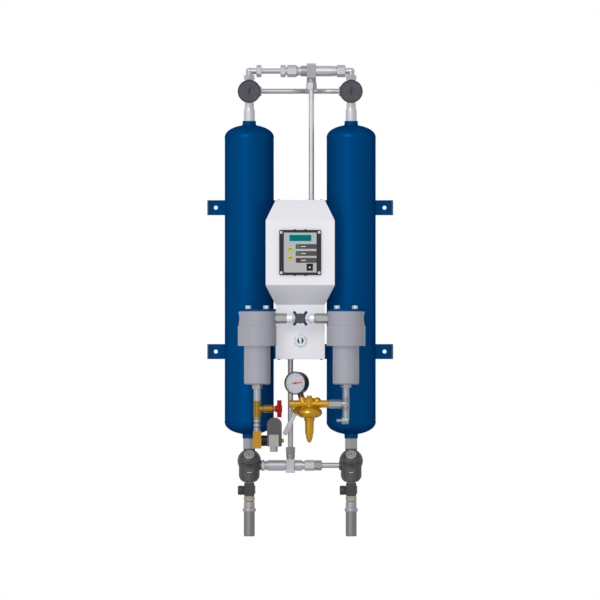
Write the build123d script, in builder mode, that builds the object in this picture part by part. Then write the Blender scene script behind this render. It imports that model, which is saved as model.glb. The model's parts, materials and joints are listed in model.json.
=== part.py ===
from build123d import *
import os
from math import cos, radians, sin, sqrt, tan

# Wall-mounted heatless desiccant air dryer: twin vessels, control cabinet, two filters and their pipework.
# Millimetres. The origin is the centre of the wall bolt pattern on the wall plane, +Y into the wall, +Z up.

os.makedirs("parts", exist_ok=True)

# Fits
running_gap = 0.1
seat_gap = 0.3

# Vessels, made from pipe with 2:1 ellipsoidal ends
vessel_outer = 114.3
vessel_wall = 3.6
column_gap = 4.3
shell_length = 664.0
neck_outer = 31.2
neck_reach = 8.725
neck_bore = 21.0
bed_clearance = 32.0
screen_thickness = 4.0

# Wall rails
rail_length = 432.6
rail_height = 35.0
rail_thickness = 4.0
rail_spacing = 334.9
rail_lip_depth = 14.0
saddle_width = 64.0
saddle_depth = 14.0
wall_bolt_inset = 20.0
wall_bolt_hole = 9.0

# Cabinet and its hooded cover
sheet = 1.5
bend_radius = 3.0
cabinet_width = 114.3
cabinet_depth = 114.5
cabinet_top = 185.4
cabinet_bottom = -184.7
hood_bottom = -58.5
hood_reach = 46.5
hood_face_width = 161.8
hood_face_top = 137.0
hood_face_bottom = -12.5
flange_depth = 16.0
cover_screw_span = 98.6
cover_screw_inset = 9.0

# Controller
bezel_width = 98.0
bezel_height = 105.5
bezel_depth = 6.0
bezel_centre_z = 63.1
panel_width = 76.4
panel_height = 93.1
panel_sheet = 1.6
display_width = 50.7
display_height = 14.3
display_centre = (0.45, 33.8)
lamp_size = 8.4
lamp_x = -4.4
lamp_rows = (14.1, -2.2, -18.2)
key_diameter = 11.0
key_x = -23.5
key_rows = (8.0, -12.0)
key_travel = 1.0
rocker_width = 14.2
rocker_height = 16.1
rocker_centre = (22.2, -34.2)
rocker_tilt = 10.0
case_depth = 42.0
bezel_screw_span = (88.4, 94.0)
housing_width = bezel_width - 16.0
housing_height = bezel_height - 16.0

# Moisture indicator
indicator_x = 0.5
indicator_z = -142.4
indicator_flats = 27.0
indicator_height = 8.0
indicator_window = 14.5

# Filters
left_filter_x = -100.2
right_filter_x = 106.5
filter_depth = 165.0
head_top = -73.2
head_diameter = 86.0
head_height = 33.5
collar_diameter = 90.0
collar_height = 47.6
bowl_diameter = 61.2
bowl_length = 89.6
bowl_wall = 3.6
bracket_thickness = 4.9
port_z = -90.2
port_diameter = 16.6
port_length = 14.0
element_diameter = 44.0
element_length = 92.0
filter_bolt_span = 41.4

# Tubes and fittings
tube_outer = 12.7
tube_wall = 1.2
riser_bend = 30.0
inlet_riser_x = -22.6
outlet_riser_x = 26.0
top_line_rise = 116.2
purge_line_rise = 69.3
purge_outer = 12.0
purge_offset = 17.0
bottom_line_drop = 63.1
socket_depth = 7.0

# Gauges
gauge_diameter = 54.0
gauge_case_depth = 26.0
gauge_rise = 69.0

# Bottom valves
valve_body_diameter = 48.4
valve_bonnet_radius = 27.5
valve_tilt = 35.0
valve_centre_drop = 52.4
valve_body_drop = 92.5
plunger_travel = 6.0

# Drain line and regulator
tee_drop = 56.8
regulator_x = 21.3
regulator_drop = 45.6
dome_diameter = 59.8

# Places worked out from the sizes above
vessel_y = -(rail_thickness + seat_gap + vessel_outer / 2)
vessel_spacing = cabinet_width + vessel_outer + 2 * column_gap
vessel_x = vessel_spacing / 2
bed_length = shell_length - 2 * bed_clearance
crown_z = shell_length / 2 + vessel_outer / 4
neck_z = crown_z + neck_reach
top_line_z = neck_z + top_line_rise
purge_line_z = neck_z + purge_line_rise
gauge_z = neck_z + gauge_rise
bottom_line_z = -(neck_z + bottom_line_drop)
valve_centre_z = -(neck_z + valve_centre_drop)
valve_body_bottom = -(neck_z + valve_body_drop)
wall_bolt_span = rail_length - 2 * wall_bolt_inset
filter_axes = (left_filter_x, right_filter_x)
bowl_bottom = head_top - head_height - collar_height - bowl_length
tee_z = bowl_bottom - tee_drop
regulator_z = bowl_bottom - regulator_drop
filter_y = -filter_depth
cabinet_front = -(rail_thickness + cabinet_depth + sheet)
hood_front = cabinet_front - hood_reach
sides = (-1, 1)


# Planes that face along an axis from a point
def facing_right(x, y, z):
    return Plane(origin=(x, y, z), x_dir=(0, 1, 0), z_dir=(1, 0, 0))


def facing_left(x, y, z):
    return Plane(origin=(x, y, z), x_dir=(0, -1, 0), z_dir=(-1, 0, 0))


def facing_front(x, y, z):
    return Plane(origin=(x, y, z), x_dir=(1, 0, 0), z_dir=(0, -1, 0))


def facing_back(x, y, z):
    return Plane(origin=(x, y, z), x_dir=(-1, 0, 0), z_dir=(0, 1, 0))


def facing_up(x, y, z):
    return Plane(origin=(x, y, z), x_dir=(1, 0, 0), z_dir=(0, 0, 1))


def facing_down(x, y, z):
    return Plane(origin=(x, y, z), x_dir=(1, 0, 0), z_dir=(0, 0, -1))


def turned(plane, *stations, mode=Mode.ADD):
    """Turns a stepped form about the plane's normal, from stations of distance and radius."""
    along = Plane(origin=plane.origin, x_dir=plane.x_dir, z_dir=-plane.y_dir)
    steps = [(radius, distance) for distance, radius in stations]
    with BuildSketch(along) as outline:
        with BuildLine():
            Polyline((0, stations[0][0]), *steps, (0, stations[-1][0]), close=True)
        make_face()
    revolve(outline.sketch, axis=Axis(plane.origin, plane.z_dir), mode=mode)


def bulged(plane, first, middle, last):
    """Turns a solid about the plane's normal between two stations, bulged through a third."""
    along = Plane(origin=plane.origin, x_dir=plane.x_dir, z_dir=-plane.y_dir)
    with BuildSketch(along) as outline:
        with BuildLine():
            ThreePointArc(first[::-1], middle[::-1], last[::-1])
            Polyline(last[::-1], (0, last[0]), (0, first[0]), first[::-1])
        make_face()
    revolve(outline.sketch, axis=Axis(plane.origin, plane.z_dir))


def hexagon(plane, flats, length, start=0.0, turn=0.0):
    """Adds a hexagon along the plane's normal, with the corners of both ends chamfered."""
    low, high = sorted((start, start + length))
    flat_round = 0.48 * flats
    rim = 0.6 * flats
    slope = (rim - flat_round) * tan(radians(30))
    with BuildSketch(plane.offset(low)) as outline:
        RegularPolygon(radius=flats / 2, side_count=6, major_radius=False, rotation=turn)
    along = Plane(origin=plane.origin, x_dir=plane.x_dir, z_dir=-plane.y_dir)
    with BuildSketch(along) as envelope:
        with BuildLine():
            Polyline(
                (0, low), (flat_round, low), (rim, low + slope), (rim, high - slope), (flat_round, high),
                (0, high), close=True,
            )
        make_face()
    prism = extrude(outline.sketch, amount=high - low, mode=Mode.PRIVATE)
    turning = revolve(envelope.sketch, axis=Axis(plane.origin, plane.z_dir), mode=Mode.PRIVATE)
    add(prism & turning)


def block(plane, width, height, length, corner=0.0, turn=0.0, mode=Mode.ADD):
    """Adds a rectangular block along the plane's normal, with rounded corners where asked."""
    with BuildSketch(plane) as outline:
        if corner > 0:
            RectangleRounded(width, height, corner, rotation=turn)
        else:
            Rectangle(width, height, rotation=turn)
    extrude(outline.sketch, amount=length, mode=mode)


def bent_tube(outer, wall, radius, *points):
    """Sweeps a tube along straight runs joined by arcs of one radius."""
    with BuildLine() as path:
        FilletPolyline(*points, radius=radius)
    start = Plane(origin=path.wire() @ 0, z_dir=path.wire() % 0)
    with BuildSketch(start) as section:
        Circle(outer / 2)
        Circle(outer / 2 - wall, mode=Mode.SUBTRACT)
    sweep(section.sketch, path=path.wire())


def finish(builder, name):
    builder.part.label = name
    export_step(builder.part, f"parts/{name}.step")


# Pressure vessels with their filter brackets
def vessel_form(radius, depth, axis_plane, mode):
    """Revolves a cylinder with elliptical ends."""
    half = shell_length / 2
    with BuildSketch(axis_plane) as outline:
        with BuildLine():
            Line((0, -half - depth), (0, half + depth))
            EllipticalCenterArc((0, half), radius, depth, start_angle=0, arc_size=90)
            Line((radius, half), (radius, -half))
            EllipticalCenterArc((0, -half), radius, depth, start_angle=-90, arc_size=90)
        make_face()
    revolve(outline.sketch, axis=Axis(axis_plane.origin, (0, 0, 1)), mode=mode)


def vessel(side, filter_x):
    """Adds one vessel, its threaded necks and the shelf that carries the filter."""
    x = side * vessel_x
    axis_plane = Plane(origin=(x, vessel_y, 0), x_dir=(1, 0, 0), z_dir=(0, -1, 0))
    outer = vessel_outer / 2
    vessel_form(outer, outer / 2, axis_plane, Mode.ADD)
    turned(facing_up(x, vessel_y, -neck_z), (0, neck_outer / 2), (2 * neck_z, neck_outer / 2))
    shelf = Plane.XY.offset(head_top)
    reach = vessel_y - filter_y
    with BuildSketch(shelf) as shelf_outline:
        with Locations((filter_x, filter_y)):
            Circle(head_diameter / 2 + 1)
        with Locations((filter_x + side * 3, filter_y + reach / 2)):
            Rectangle(head_diameter - 12, reach)
    extrude(shelf_outline.sketch, amount=bracket_thickness)
    with Locations((filter_x, filter_y, head_top)):
        with GridLocations(filter_bolt_span, 1, 2, 1):
            Cylinder(3.3, 3 * bracket_thickness, mode=Mode.SUBTRACT)
    vessel_form(outer - vessel_wall, outer / 2 - vessel_wall, axis_plane, Mode.SUBTRACT)
    turned(
        facing_up(x, vessel_y, -neck_z), (-1, neck_bore / 2), (2 * neck_z + 1, neck_bore / 2),
        mode=Mode.SUBTRACT,
    )


with BuildPart() as left_vessel:
    vessel(-1, filter_axes[0])
finish(left_vessel, "left_vessel")

with BuildPart() as right_vessel:
    vessel(1, filter_axes[1])
finish(right_vessel, "right_vessel")

# Desiccant between two screens in each vessel
bed_radius = vessel_outer / 2 - vessel_wall - seat_gap

with BuildPart() as desiccant_beds:
    for side in sides:
        turned(
            facing_up(side * vessel_x, vessel_y, -bed_length / 2), (0, bed_radius), (bed_length, bed_radius),
        )
finish(desiccant_beds, "desiccant_beds")

with BuildPart() as bed_screens:
    for side in sides:
        for plane in (
            facing_up(side * vessel_x, vessel_y, bed_length / 2),
            facing_down(side * vessel_x, vessel_y, -bed_length / 2),
        ):
            turned(plane, (0, bed_radius), (screen_thickness, bed_radius))
finish(bed_screens, "bed_screens")


# Wall rails with welded saddles and turned-out end lips
def rail(z):
    """Adds one flat rail, its lips, its saddles and its wall bolt holes."""
    back = facing_front(0, 0, z)
    block(back, rail_length, rail_height, rail_thickness)
    for side in sides:
        block(
            facing_front(side * (rail_length - rail_thickness) / 2, 0, z),
            rail_thickness, rail_height, rail_lip_depth,
        )
        block(facing_front(side * vessel_x, 0, z), saddle_width, rail_height - 6, saddle_depth)
        turned(
            facing_up(side * vessel_x, vessel_y, z - rail_height),
            (0, vessel_outer / 2 + seat_gap / 2), (2 * rail_height, vessel_outer / 2 + seat_gap / 2),
            mode=Mode.SUBTRACT,
        )
    with Locations(back):
        with GridLocations(wall_bolt_span, 1, 2, 1):
            Hole(wall_bolt_hole / 2)


with BuildPart() as upper_rail:
    rail(rail_spacing / 2)
finish(upper_rail, "upper_rail")

with BuildPart() as lower_rail:
    rail(-rail_spacing / 2)
finish(lower_rail, "lower_rail")

# Cabinet box: a folded tray, open to the front
cabinet_height = cabinet_top - cabinet_bottom
cabinet_middle = (cabinet_top + cabinet_bottom) / 2

with BuildPart() as cabinet_box:
    block(facing_front(0, -rail_thickness, cabinet_middle), cabinet_width, cabinet_height, cabinet_depth)
    fillet(cabinet_box.edges().filter_by(Axis.Y), bend_radius)
    offset(amount=-sheet, openings=cabinet_box.faces().sort_by(Axis.Y)[0])
    for x, z in ((inlet_riser_x, cabinet_bottom), (outlet_riser_x, cabinet_top)):
        turned(
            facing_up(x, vessel_y, z - 5), (0, tube_outer / 2 + seat_gap), (10, tube_outer / 2 + seat_gap),
            mode=Mode.SUBTRACT,
        )
    for z in (cabinet_top, cabinet_bottom):
        with Locations((0, cabinet_front + cover_screw_inset, z)):
            with GridLocations(cover_screw_span, 1, 2, 1):
                Cylinder(1.7, 10, mode=Mode.SUBTRACT)
finish(cabinet_box, "cabinet_box")

# Cover: flat lower panel, flared hood and two screwed flanges
hood_base_height = cabinet_top - hood_bottom
hood_face_height = hood_face_top - hood_face_bottom

with BuildPart() as hood:
    with BuildSketch(Plane.XZ.offset(-cabinet_front)):
        with Locations((0, (cabinet_top + hood_bottom) / 2)):
            Rectangle(cabinet_width, hood_base_height)
    with BuildSketch(Plane.XZ.offset(-hood_front)):
        with Locations((0, (hood_face_top + hood_face_bottom) / 2)):
            Rectangle(hood_face_width, hood_face_height)
    loft(ruled=True)
    offset(amount=-sheet, openings=hood.faces().sort_by(Axis.Y)[-1])
    fillet(hood.faces().sort_by(Axis.Y)[0].edges(), sheet / 2)

cover_inside = cabinet_width - 2 * (sheet + seat_gap)

with BuildPart() as cabinet_cover:
    add(hood.part)
    with BuildSketch(Plane.XZ.offset(-cabinet_front - sheet)):
        with Locations((0, cabinet_middle)):
            Rectangle(cabinet_width, cabinet_height)
        with Locations((0, (cabinet_top + hood_bottom) / 2)):
            Rectangle(cabinet_width - 4 * sheet, hood_base_height - 4 * sheet, mode=Mode.SUBTRACT)
    extrude(amount=sheet)
    for z, plane in ((cabinet_top, -1), (cabinet_bottom, 1)):
        flange_z = z + plane * (1.5 * sheet + seat_gap)
        block(
            facing_back(0, cabinet_front + sheet / 2, flange_z),
            cover_inside - 4 * bend_radius, sheet, flange_depth,
        )
        with Locations((0, cabinet_front + cover_screw_inset, flange_z)):
            with GridLocations(cover_screw_span, 1, 2, 1):
                Cylinder(1.7, 4 * sheet, mode=Mode.SUBTRACT)
    block(
        facing_front(0, cabinet_front, bezel_centre_z), housing_width + 2 * seat_gap,
        housing_height + 2 * seat_gap, hood_reach + 5, mode=Mode.SUBTRACT,
    )
    with Locations((0, hood_front, bezel_centre_z)):
        with Locations(Rot(90, 0, 0)):
            with GridLocations(*bezel_screw_span, 2, 2):
                Cylinder(1.7, 4 * sheet, mode=Mode.SUBTRACT)
    turned(
        facing_front(indicator_x, cabinet_front + 5, indicator_z), (0, 8.3), (10, 8.3), mode=Mode.SUBTRACT,
    )
    for x in (inlet_riser_x, outlet_riser_x):
        turned(
            facing_front(x, cabinet_front + 5, port_z),
            (0, tube_outer / 2 + seat_gap), (10, tube_outer / 2 + seat_gap),
            mode=Mode.SUBTRACT,
        )
finish(cabinet_cover, "cabinet_cover")

# Controller: housing with bezel, panel, window, lamps, keys, rocker and board
bezel_front = hood_front - bezel_depth
recess = panel_sheet + 0.4
panel_back = bezel_front + recess
well_width = panel_width - 6.0
well_height = panel_height - 6.0
board_front = panel_back + 8.5


def on_panel(place, depth=panel_back):
    """A plane facing the viewer at a place on the panel, measured from the panel's centre."""
    return facing_front(place[0], depth, bezel_centre_z + place[1])


with BuildPart() as controller_case:
    block(on_panel((0, 0), hood_front), bezel_width, bezel_height, bezel_depth, corner=3)
    block(facing_back(0, hood_front, bezel_centre_z), housing_width, housing_height, case_depth)
    block(
        on_panel((0, 0)), panel_width + running_gap, panel_height + running_gap, recess + 1,
        mode=Mode.SUBTRACT,
    )
    block(
        facing_back(0, bezel_front, bezel_centre_z), well_width, well_height, case_depth + bezel_depth - 2.5,
        mode=Mode.SUBTRACT,
    )
    with Locations(on_panel((0, 0), bezel_front)):
        with GridLocations(*bezel_screw_span, 2, 2):
            CounterSinkHole(1.6, 3.3, depth=12, counter_sink_angle=90)
finish(controller_case, "controller_case")

with BuildPart() as controller_panel:
    block(on_panel((0, 0)), panel_width - running_gap, panel_height - running_gap, panel_sheet)
    block(
        on_panel(display_centre), display_width + 2 * running_gap, display_height + 2 * running_gap,
        panel_sheet, mode=Mode.SUBTRACT,
    )
    for row in lamp_rows:
        block(
            on_panel((lamp_x, row)), lamp_size + 2 * running_gap, lamp_size + 2 * running_gap, panel_sheet,
            mode=Mode.SUBTRACT,
        )
    for row in key_rows:
        turned(
            on_panel((key_x, row)),
            (0, key_diameter / 2 + seat_gap / 2), (panel_sheet, key_diameter / 2 + seat_gap / 2),
            mode=Mode.SUBTRACT,
        )
    block(
        on_panel(rocker_centre), rocker_width + 2 * seat_gap, rocker_height + 2 * seat_gap, panel_sheet,
        mode=Mode.SUBTRACT,
    )
finish(controller_panel, "controller_panel")

with BuildPart() as display_window:
    block(on_panel(display_centre), display_width, display_height, panel_sheet)
finish(display_window, "display_window")

with BuildPart() as status_lights:
    for row in lamp_rows:
        block(on_panel((lamp_x, row)), lamp_size, lamp_size, panel_sheet + 0.3)
finish(status_lights, "status_lights")

key_reach = 4.5


def key(row):
    """Adds a round key with a retaining collar behind the panel."""
    face = panel_sheet + 1.2
    turned(
        on_panel((key_x, row)),
        (-key_reach, 3), (-1.8, 3), (-1.8, key_diameter / 2 + 1), (-seat_gap, key_diameter / 2 + 1),
        (-seat_gap, key_diameter / 2), (face - 0.5, key_diameter / 2), (face, key_diameter / 2 - 0.5),
    )


with BuildPart() as up_key:
    key(key_rows[0])
finish(up_key, "up_key")

with BuildPart() as down_key:
    key(key_rows[1])
finish(down_key, "down_key")

with BuildPart() as rocker_switch:
    tilt = radians(rocker_tilt)
    rocker_left = rocker_centre[0] - rocker_width / 2
    pivot = Plane(
        origin=(rocker_left, panel_back - seat_gap, bezel_centre_z + rocker_centre[1]),
        x_dir=(0, -sin(tilt), cos(tilt)), z_dir=(1, 0, 0),
    )
    with BuildSketch(pivot):
        Circle(rocker_height / 2)
        with BuildLine():
            Polyline(
                (-rocker_height, -5.6), (0, -2.6), (rocker_height, -5.6),
                (rocker_height, 3.0), (-rocker_height, 3.0), close=True,
            )
        make_face(mode=Mode.INTERSECT)
    extrude(amount=rocker_width)
finish(rocker_switch, "rocker_switch")

with BuildPart() as circuit_board:
    board = facing_back(0, board_front, bezel_centre_z)
    block(board, well_width - 2 * running_gap, well_height - 2 * running_gap, panel_sheet)
    for row in key_rows:
        reach = board_front - panel_back - key_reach - key_travel - seat_gap
        turned(on_panel((key_x, row), board_front), (0, 3), (reach, 3))
finish(circuit_board, "circuit_board")

with BuildPart() as panel_screws:
    with BuildSketch(on_panel((0, 0), bezel_front)) as screw_places:
        with GridLocations(*bezel_screw_span, 2, 2):
            Circle(1.5)
    extrude(amount=-10)
    with Locations(on_panel((0, 0), bezel_front)):
        with GridLocations(*bezel_screw_span, 2, 2):
            Cone(1.5, 3.2, 1.7, align=(Align.CENTER, Align.CENTER, Align.MAX))
    for x in (-cover_screw_span / 2, cover_screw_span / 2):
        y = cabinet_front + cover_screw_inset
        for plane in (facing_up(x, y, cabinet_top), facing_down(x, y, cabinet_bottom)):
            turned(plane, (-7, 1.5), (0, 1.5), (0, 3.4), (1.2, 3.4), (2.2, 2.2))
finish(panel_screws, "panel_screws")

# Moisture indicator in the lower panel
barrel = 16.0
window_depth = 3.0

with BuildPart() as moisture_indicator:
    indicator = facing_front(indicator_x, cabinet_front, indicator_z)
    hexagon(indicator, indicator_flats, indicator_height - 2, turn=30)
    turned(indicator, (-barrel, 8.0), (0, 8.0), (0, 12.5), (indicator_height, 12.5))
    turned(
        indicator, (indicator_height - window_depth, indicator_window / 2 + running_gap),
        (indicator_height + 1, indicator_window / 2 + running_gap), mode=Mode.SUBTRACT,
    )
finish(moisture_indicator, "moisture_indicator")

with BuildPart() as moisture_window:
    turned(
        indicator.offset(indicator_height - window_depth),
        (0, indicator_window / 2), (window_depth + 0.5, indicator_window / 2),
        (window_depth + 2.0, indicator_window / 2 - 2.5), (window_depth + 2.6, 1.5),
    )
finish(moisture_window, "moisture_window")

# Filters: head, threaded bowl, element and hanging bolts
head_bottom = head_top - head_height
spigot_radius = 39.0
spigot_length = 18.0
spotface = 1.6
bolt_engagement = 9.0


def filter_head(x):
    """Adds a filter head with two side ports, inner passages and tapped holes for its bolts."""
    radius = head_diameter / 2
    turned(
        facing_down(x, filter_y, head_top),
        (0, radius - 1.5), (1.5, radius), (head_height, radius),
        (head_height, spigot_radius), (head_height + spigot_length, spigot_radius),
    )
    inner = radius - spotface - port_length
    for plane, start in (
        (facing_left(x, filter_y, port_z), inner - 4),
        (facing_right(x, filter_y, port_z), 0),
    ):
        turned(
            plane, (start, 5.5), (inner, 5.5), (inner, port_diameter / 2), (radius + 1, port_diameter / 2),
            mode=Mode.SUBTRACT,
        )
        turned(plane, (radius - spotface, 12), (radius + 1, 12), mode=Mode.SUBTRACT)
    for offset_x in (inner, 0):
        turned(facing_down(x - offset_x, filter_y, port_z), (0, 5), (60, 5), mode=Mode.SUBTRACT)
    with Locations((x, filter_y, head_top)):
        with GridLocations(filter_bolt_span, 1, 2, 1):
            Hole(3.1, depth=bolt_engagement + 0.5)


def filter_bowl(x):
    """Adds a bowl with its broad threaded collar and a drain hole."""
    total = collar_height + bowl_length
    inner = bowl_diameter / 2 - bowl_wall
    plane = facing_down(x, filter_y, head_bottom)
    turned(
        plane,
        (0, collar_diameter / 2 - 1.5), (2, collar_diameter / 2), (collar_height, collar_diameter / 2),
        (collar_height, bowl_diameter / 2), (total - 3, bowl_diameter / 2), (total, bowl_diameter / 2 - 3),
    )
    turned(
        plane,
        (-1, spigot_radius + running_gap), (spigot_length + seat_gap, spigot_radius + running_gap),
        (spigot_length + seat_gap, inner), (total - 4, inner), mode=Mode.SUBTRACT,
    )
    turned(plane, (total - 5, 6), (total + 1, 6), mode=Mode.SUBTRACT)


for side_name, filter_x in zip(("left", "right"), filter_axes):
    with BuildPart() as head:
        filter_head(filter_x)
    finish(head, f"{side_name}_filter_head")

    with BuildPart() as bowl:
        filter_bowl(filter_x)
    finish(bowl, f"{side_name}_filter_bowl")

with BuildPart() as filter_elements:
    for filter_x in filter_axes:
        cartridge = facing_down(filter_x, filter_y, head_bottom - spigot_length)
        turned(cartridge, (0, element_diameter / 2), (element_length, element_diameter / 2))
        turned(cartridge, (0, 8), (element_length - 6, 8), mode=Mode.SUBTRACT)
finish(filter_elements, "filter_elements")

bracket_top = head_top + bracket_thickness

with BuildPart() as filter_bolts:
    for filter_x in filter_axes:
        for x in (filter_x - filter_bolt_span / 2, filter_x + filter_bolt_span / 2):
            stud = facing_up(x, filter_y, bracket_top)
            hexagon(stud, 11.5, 8.0)
            turned(stud, (-bracket_thickness - bolt_engagement, 3), (0, 3))
finish(filter_bolts, "filter_bolts")

# Port fittings: hex nipples from the filters, and tees that feed the risers
tee_radius = 10.3
nipple_flats = 20.7
tee_half = 8.8
bypass_half = 10.0
rear_branch = 17.0

port_sides = (
    (filter_axes[0], inlet_riser_x, facing_right),
    (filter_axes[1], outlet_riser_x, facing_left),
)
passage_radius = 5.0
nipple_tail = 7.4

with BuildPart() as port_fittings:
    for filter_x, tee_x, plane_of in port_sides:
        toward = 1 if tee_x > filter_x else -1
        tee = plane_of(tee_x - toward * tee_half, filter_y, port_z)
        rear = facing_back(tee_x, filter_y, port_z)
        inner_end = abs(tee_x) - bypass_half + tee_half
        turned(
            tee, (0, tee_radius), (2 * tee_half - 5, tee_radius),
            (2 * tee_half + 1, tee_radius - 4), (inner_end, tee_radius - 4),
        )
        turned(rear, (0, 9), (rear_branch, 9))
        turned(tee, (-1, passage_radius), (inner_end + 1, passage_radius), mode=Mode.SUBTRACT)
        turned(
            rear, (0, passage_radius), (rear_branch - socket_depth, passage_radius),
            (rear_branch - socket_depth, tube_outer / 2 + running_gap),
            (rear_branch + 1, tube_outer / 2 + running_gap), mode=Mode.SUBTRACT,
        )
    for filter_x, tee_x, plane_of in port_sides:
        toward = 1 if tee_x > filter_x else -1
        seat = filter_x + toward * (head_diameter / 2 - spotface)
        hex_length = abs(tee_x - seat) - tee_half
        nipple = plane_of(seat, filter_y, port_z)
        spigot = port_diameter / 2 - running_gap
        hexagon(nipple, nipple_flats, hex_length, turn=30)
        turned(nipple, (1 - port_length, spigot), (0, spigot))
        turned(nipple, (hex_length, nipple_tail), (hex_length + 1, nipple_tail))
        turned(
            nipple, (-port_length, passage_radius), (hex_length + 2, passage_radius), mode=Mode.SUBTRACT,
        )
finish(port_fittings, "port_fittings")

# Bypass valve with its four-armed handle
handle_seat = 17.0
arm_reach = 19.0

with BuildPart() as bypass_valve:
    front = facing_front(0, filter_y, port_z)
    turned(facing_right(-bypass_half, filter_y, port_z), (0, 8), (3, 11), (2 * bypass_half - 3, 11), (20, 8))
    turned(front, (0, 9), (handle_seat, 9))
    turned(front, (handle_seat - 8, 4 + running_gap), (handle_seat + 1, 4 + running_gap), mode=Mode.SUBTRACT)
finish(bypass_valve, "bypass_valve")

with BuildPart() as bypass_handle:
    handle = front.offset(handle_seat + seat_gap)
    turned(handle, (-8, 4), (0, 4), (0, 10), (6, 10))
    for turn in (45, 135):
        block(handle, 2 * arm_reach, 5.5, 6, turn=turn)
    with BuildSketch(handle) as arm_ends:
        with PolarLocations(arm_reach, 4, start_angle=45):
            Circle(3.6)
    extrude(arm_ends.sketch, amount=6)
    turned(handle, (6, 12), (9, 12), (10, 11))
finish(bypass_handle, "bypass_handle")

# Nipples in the vessel necks
thread_depth = 12.0
top_nipple_length = 42.0
bottom_nipple_length = 24.9
nipple_spigot = 6.5

with BuildPart() as vessel_nipples:
    for side in sides:
        x = side * vessel_x
        turned(
            facing_up(x, vessel_y, neck_z),
            (-thread_depth, neck_bore / 2 - running_gap), (0, neck_bore / 2 - running_gap),
            (0, 12.9), (23.4, 12.9), (31.5, 10.8), (top_nipple_length, 10.8),
            (top_nipple_length, nipple_spigot), (top_nipple_length + 9, nipple_spigot),
        )
        lower = facing_down(x, vessel_y, -neck_z)
        hexagon(lower, 28.3, bottom_nipple_length, turn=30)
        turned(lower, (-thread_depth, neck_bore / 2 - running_gap), (0, neck_bore / 2 - running_gap))
        turned(lower, (bottom_nipple_length, 9), (bottom_nipple_length + 9, 9))
        for plane, length in (
            (facing_up(x, vessel_y, neck_z), top_nipple_length),
            (lower, bottom_nipple_length),
        ):
            turned(plane, (-thread_depth - 1, 4.5), (length + 10, 4.5), mode=Mode.SUBTRACT)
finish(vessel_nipples, "vessel_nipples")

# Gauge tees on top of the nipples
gauge_tee_bottom = neck_z + top_nipple_length
gauge_tee_top = 2 * gauge_z - gauge_tee_bottom
purge_branch = 14.0
gauge_branch = 15.0
gauge_stem = 5.0

with BuildPart() as gauge_tees:
    for side in sides:
        x = side * vessel_x
        inward = facing_left if side > 0 else facing_right
        turned(facing_up(x, vessel_y, gauge_tee_bottom), (0, 10), (gauge_tee_top - gauge_tee_bottom, 10))
        turned(inward(x, vessel_y, purge_line_z), (0, 9.5), (purge_branch, 9.5))
        turned(facing_front(x, vessel_y, gauge_z), (0, 9), (gauge_branch, 9))
        for plane in (facing_up(x, vessel_y, gauge_tee_bottom), facing_down(x, vessel_y, gauge_tee_top)):
            turned(
                plane, (-1, nipple_spigot + running_gap), (10, nipple_spigot + running_gap),
                (10, 4.5), (28, 4.5), mode=Mode.SUBTRACT,
            )
        turned(
            inward(x, vessel_y, purge_line_z), (0, 4), (purge_branch - socket_depth, 4),
            (purge_branch - socket_depth, purge_outer / 2 + running_gap),
            (purge_branch + 1, purge_outer / 2 + running_gap), mode=Mode.SUBTRACT,
        )
        turned(
            facing_front(x, vessel_y, gauge_z), (0, 2), (gauge_branch - 9, 2),
            (gauge_branch - 9, gauge_stem + running_gap), (gauge_branch + 1, gauge_stem + running_gap),
            mode=Mode.SUBTRACT,
        )
finish(gauge_tees, "gauge_tees")

# Elbows to the top line
elbow_flats = 24.7
elbow_hex = 10.7
elbow_radius = 7.4
left_elbow_reach = 16.6
right_elbow_reach = 13.1

with BuildPart() as top_elbows:
    for side, reach in zip(sides, (left_elbow_reach, right_elbow_reach)):
        x = side * vessel_x
        base = facing_up(x, vessel_y, gauge_tee_top)
        turned(base, (-9, nipple_spigot), (0, nipple_spigot))
        hexagon(base, elbow_flats, elbow_hex, turn=30)
        inward = facing_left if side > 0 else facing_right
        outlet = inward(x, vessel_y, top_line_z)
        rise = top_line_z - gauge_tee_top
        turned(base, (elbow_hex - 2, elbow_radius + 0.3), (rise, elbow_radius + 0.3))
        turned(outlet, (0, elbow_radius), (reach, elbow_radius))
        with Locations((x, vessel_y, top_line_z)):
            Sphere(elbow_radius + 0.6)
            Box(10, 8, 10, align=(Align.MIN if side < 0 else Align.MAX, Align.CENTER, Align.MAX))
        turned(base, (-10, 4), (rise + 4.5, 4), mode=Mode.SUBTRACT)
        turned(outlet, (0, 3.6), (reach + 1, 3.6), mode=Mode.SUBTRACT)
    turned(
        facing_right(vessel_x - right_elbow_reach - socket_depth, vessel_y, top_line_z),
        (0, elbow_radius), (socket_depth, elbow_radius),
    )
    turned(
        facing_right(vessel_x - right_elbow_reach - socket_depth - 1, vessel_y, top_line_z),
        (0, 4), (socket_depth + 2, 4), mode=Mode.SUBTRACT,
    )
finish(top_elbows, "top_elbows")

# Check valves in the top line, one guided poppet in each
left_valve_end = -33.5
left_valve_length = 34.9
right_valve_start = 36.6
right_valve_end = vessel_x - right_elbow_reach
seat_radius = 5.0
chamber_radius = 8.1
poppet_length = 9.0
poppet_travel = 4.0
spring_room = 3.0
chamber_length = poppet_length + poppet_travel + spring_room
seat_places = (-22.0, 60.0)


def check_chamber(flow):
    """Cuts the seat and the poppet chamber, from the seat along the flow."""
    turned(
        flow, (-4, seat_radius), (0, seat_radius), (0, chamber_radius), (chamber_length, chamber_radius),
        (chamber_length, seat_radius), (chamber_length + 8, seat_radius), mode=Mode.SUBTRACT,
    )


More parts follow.
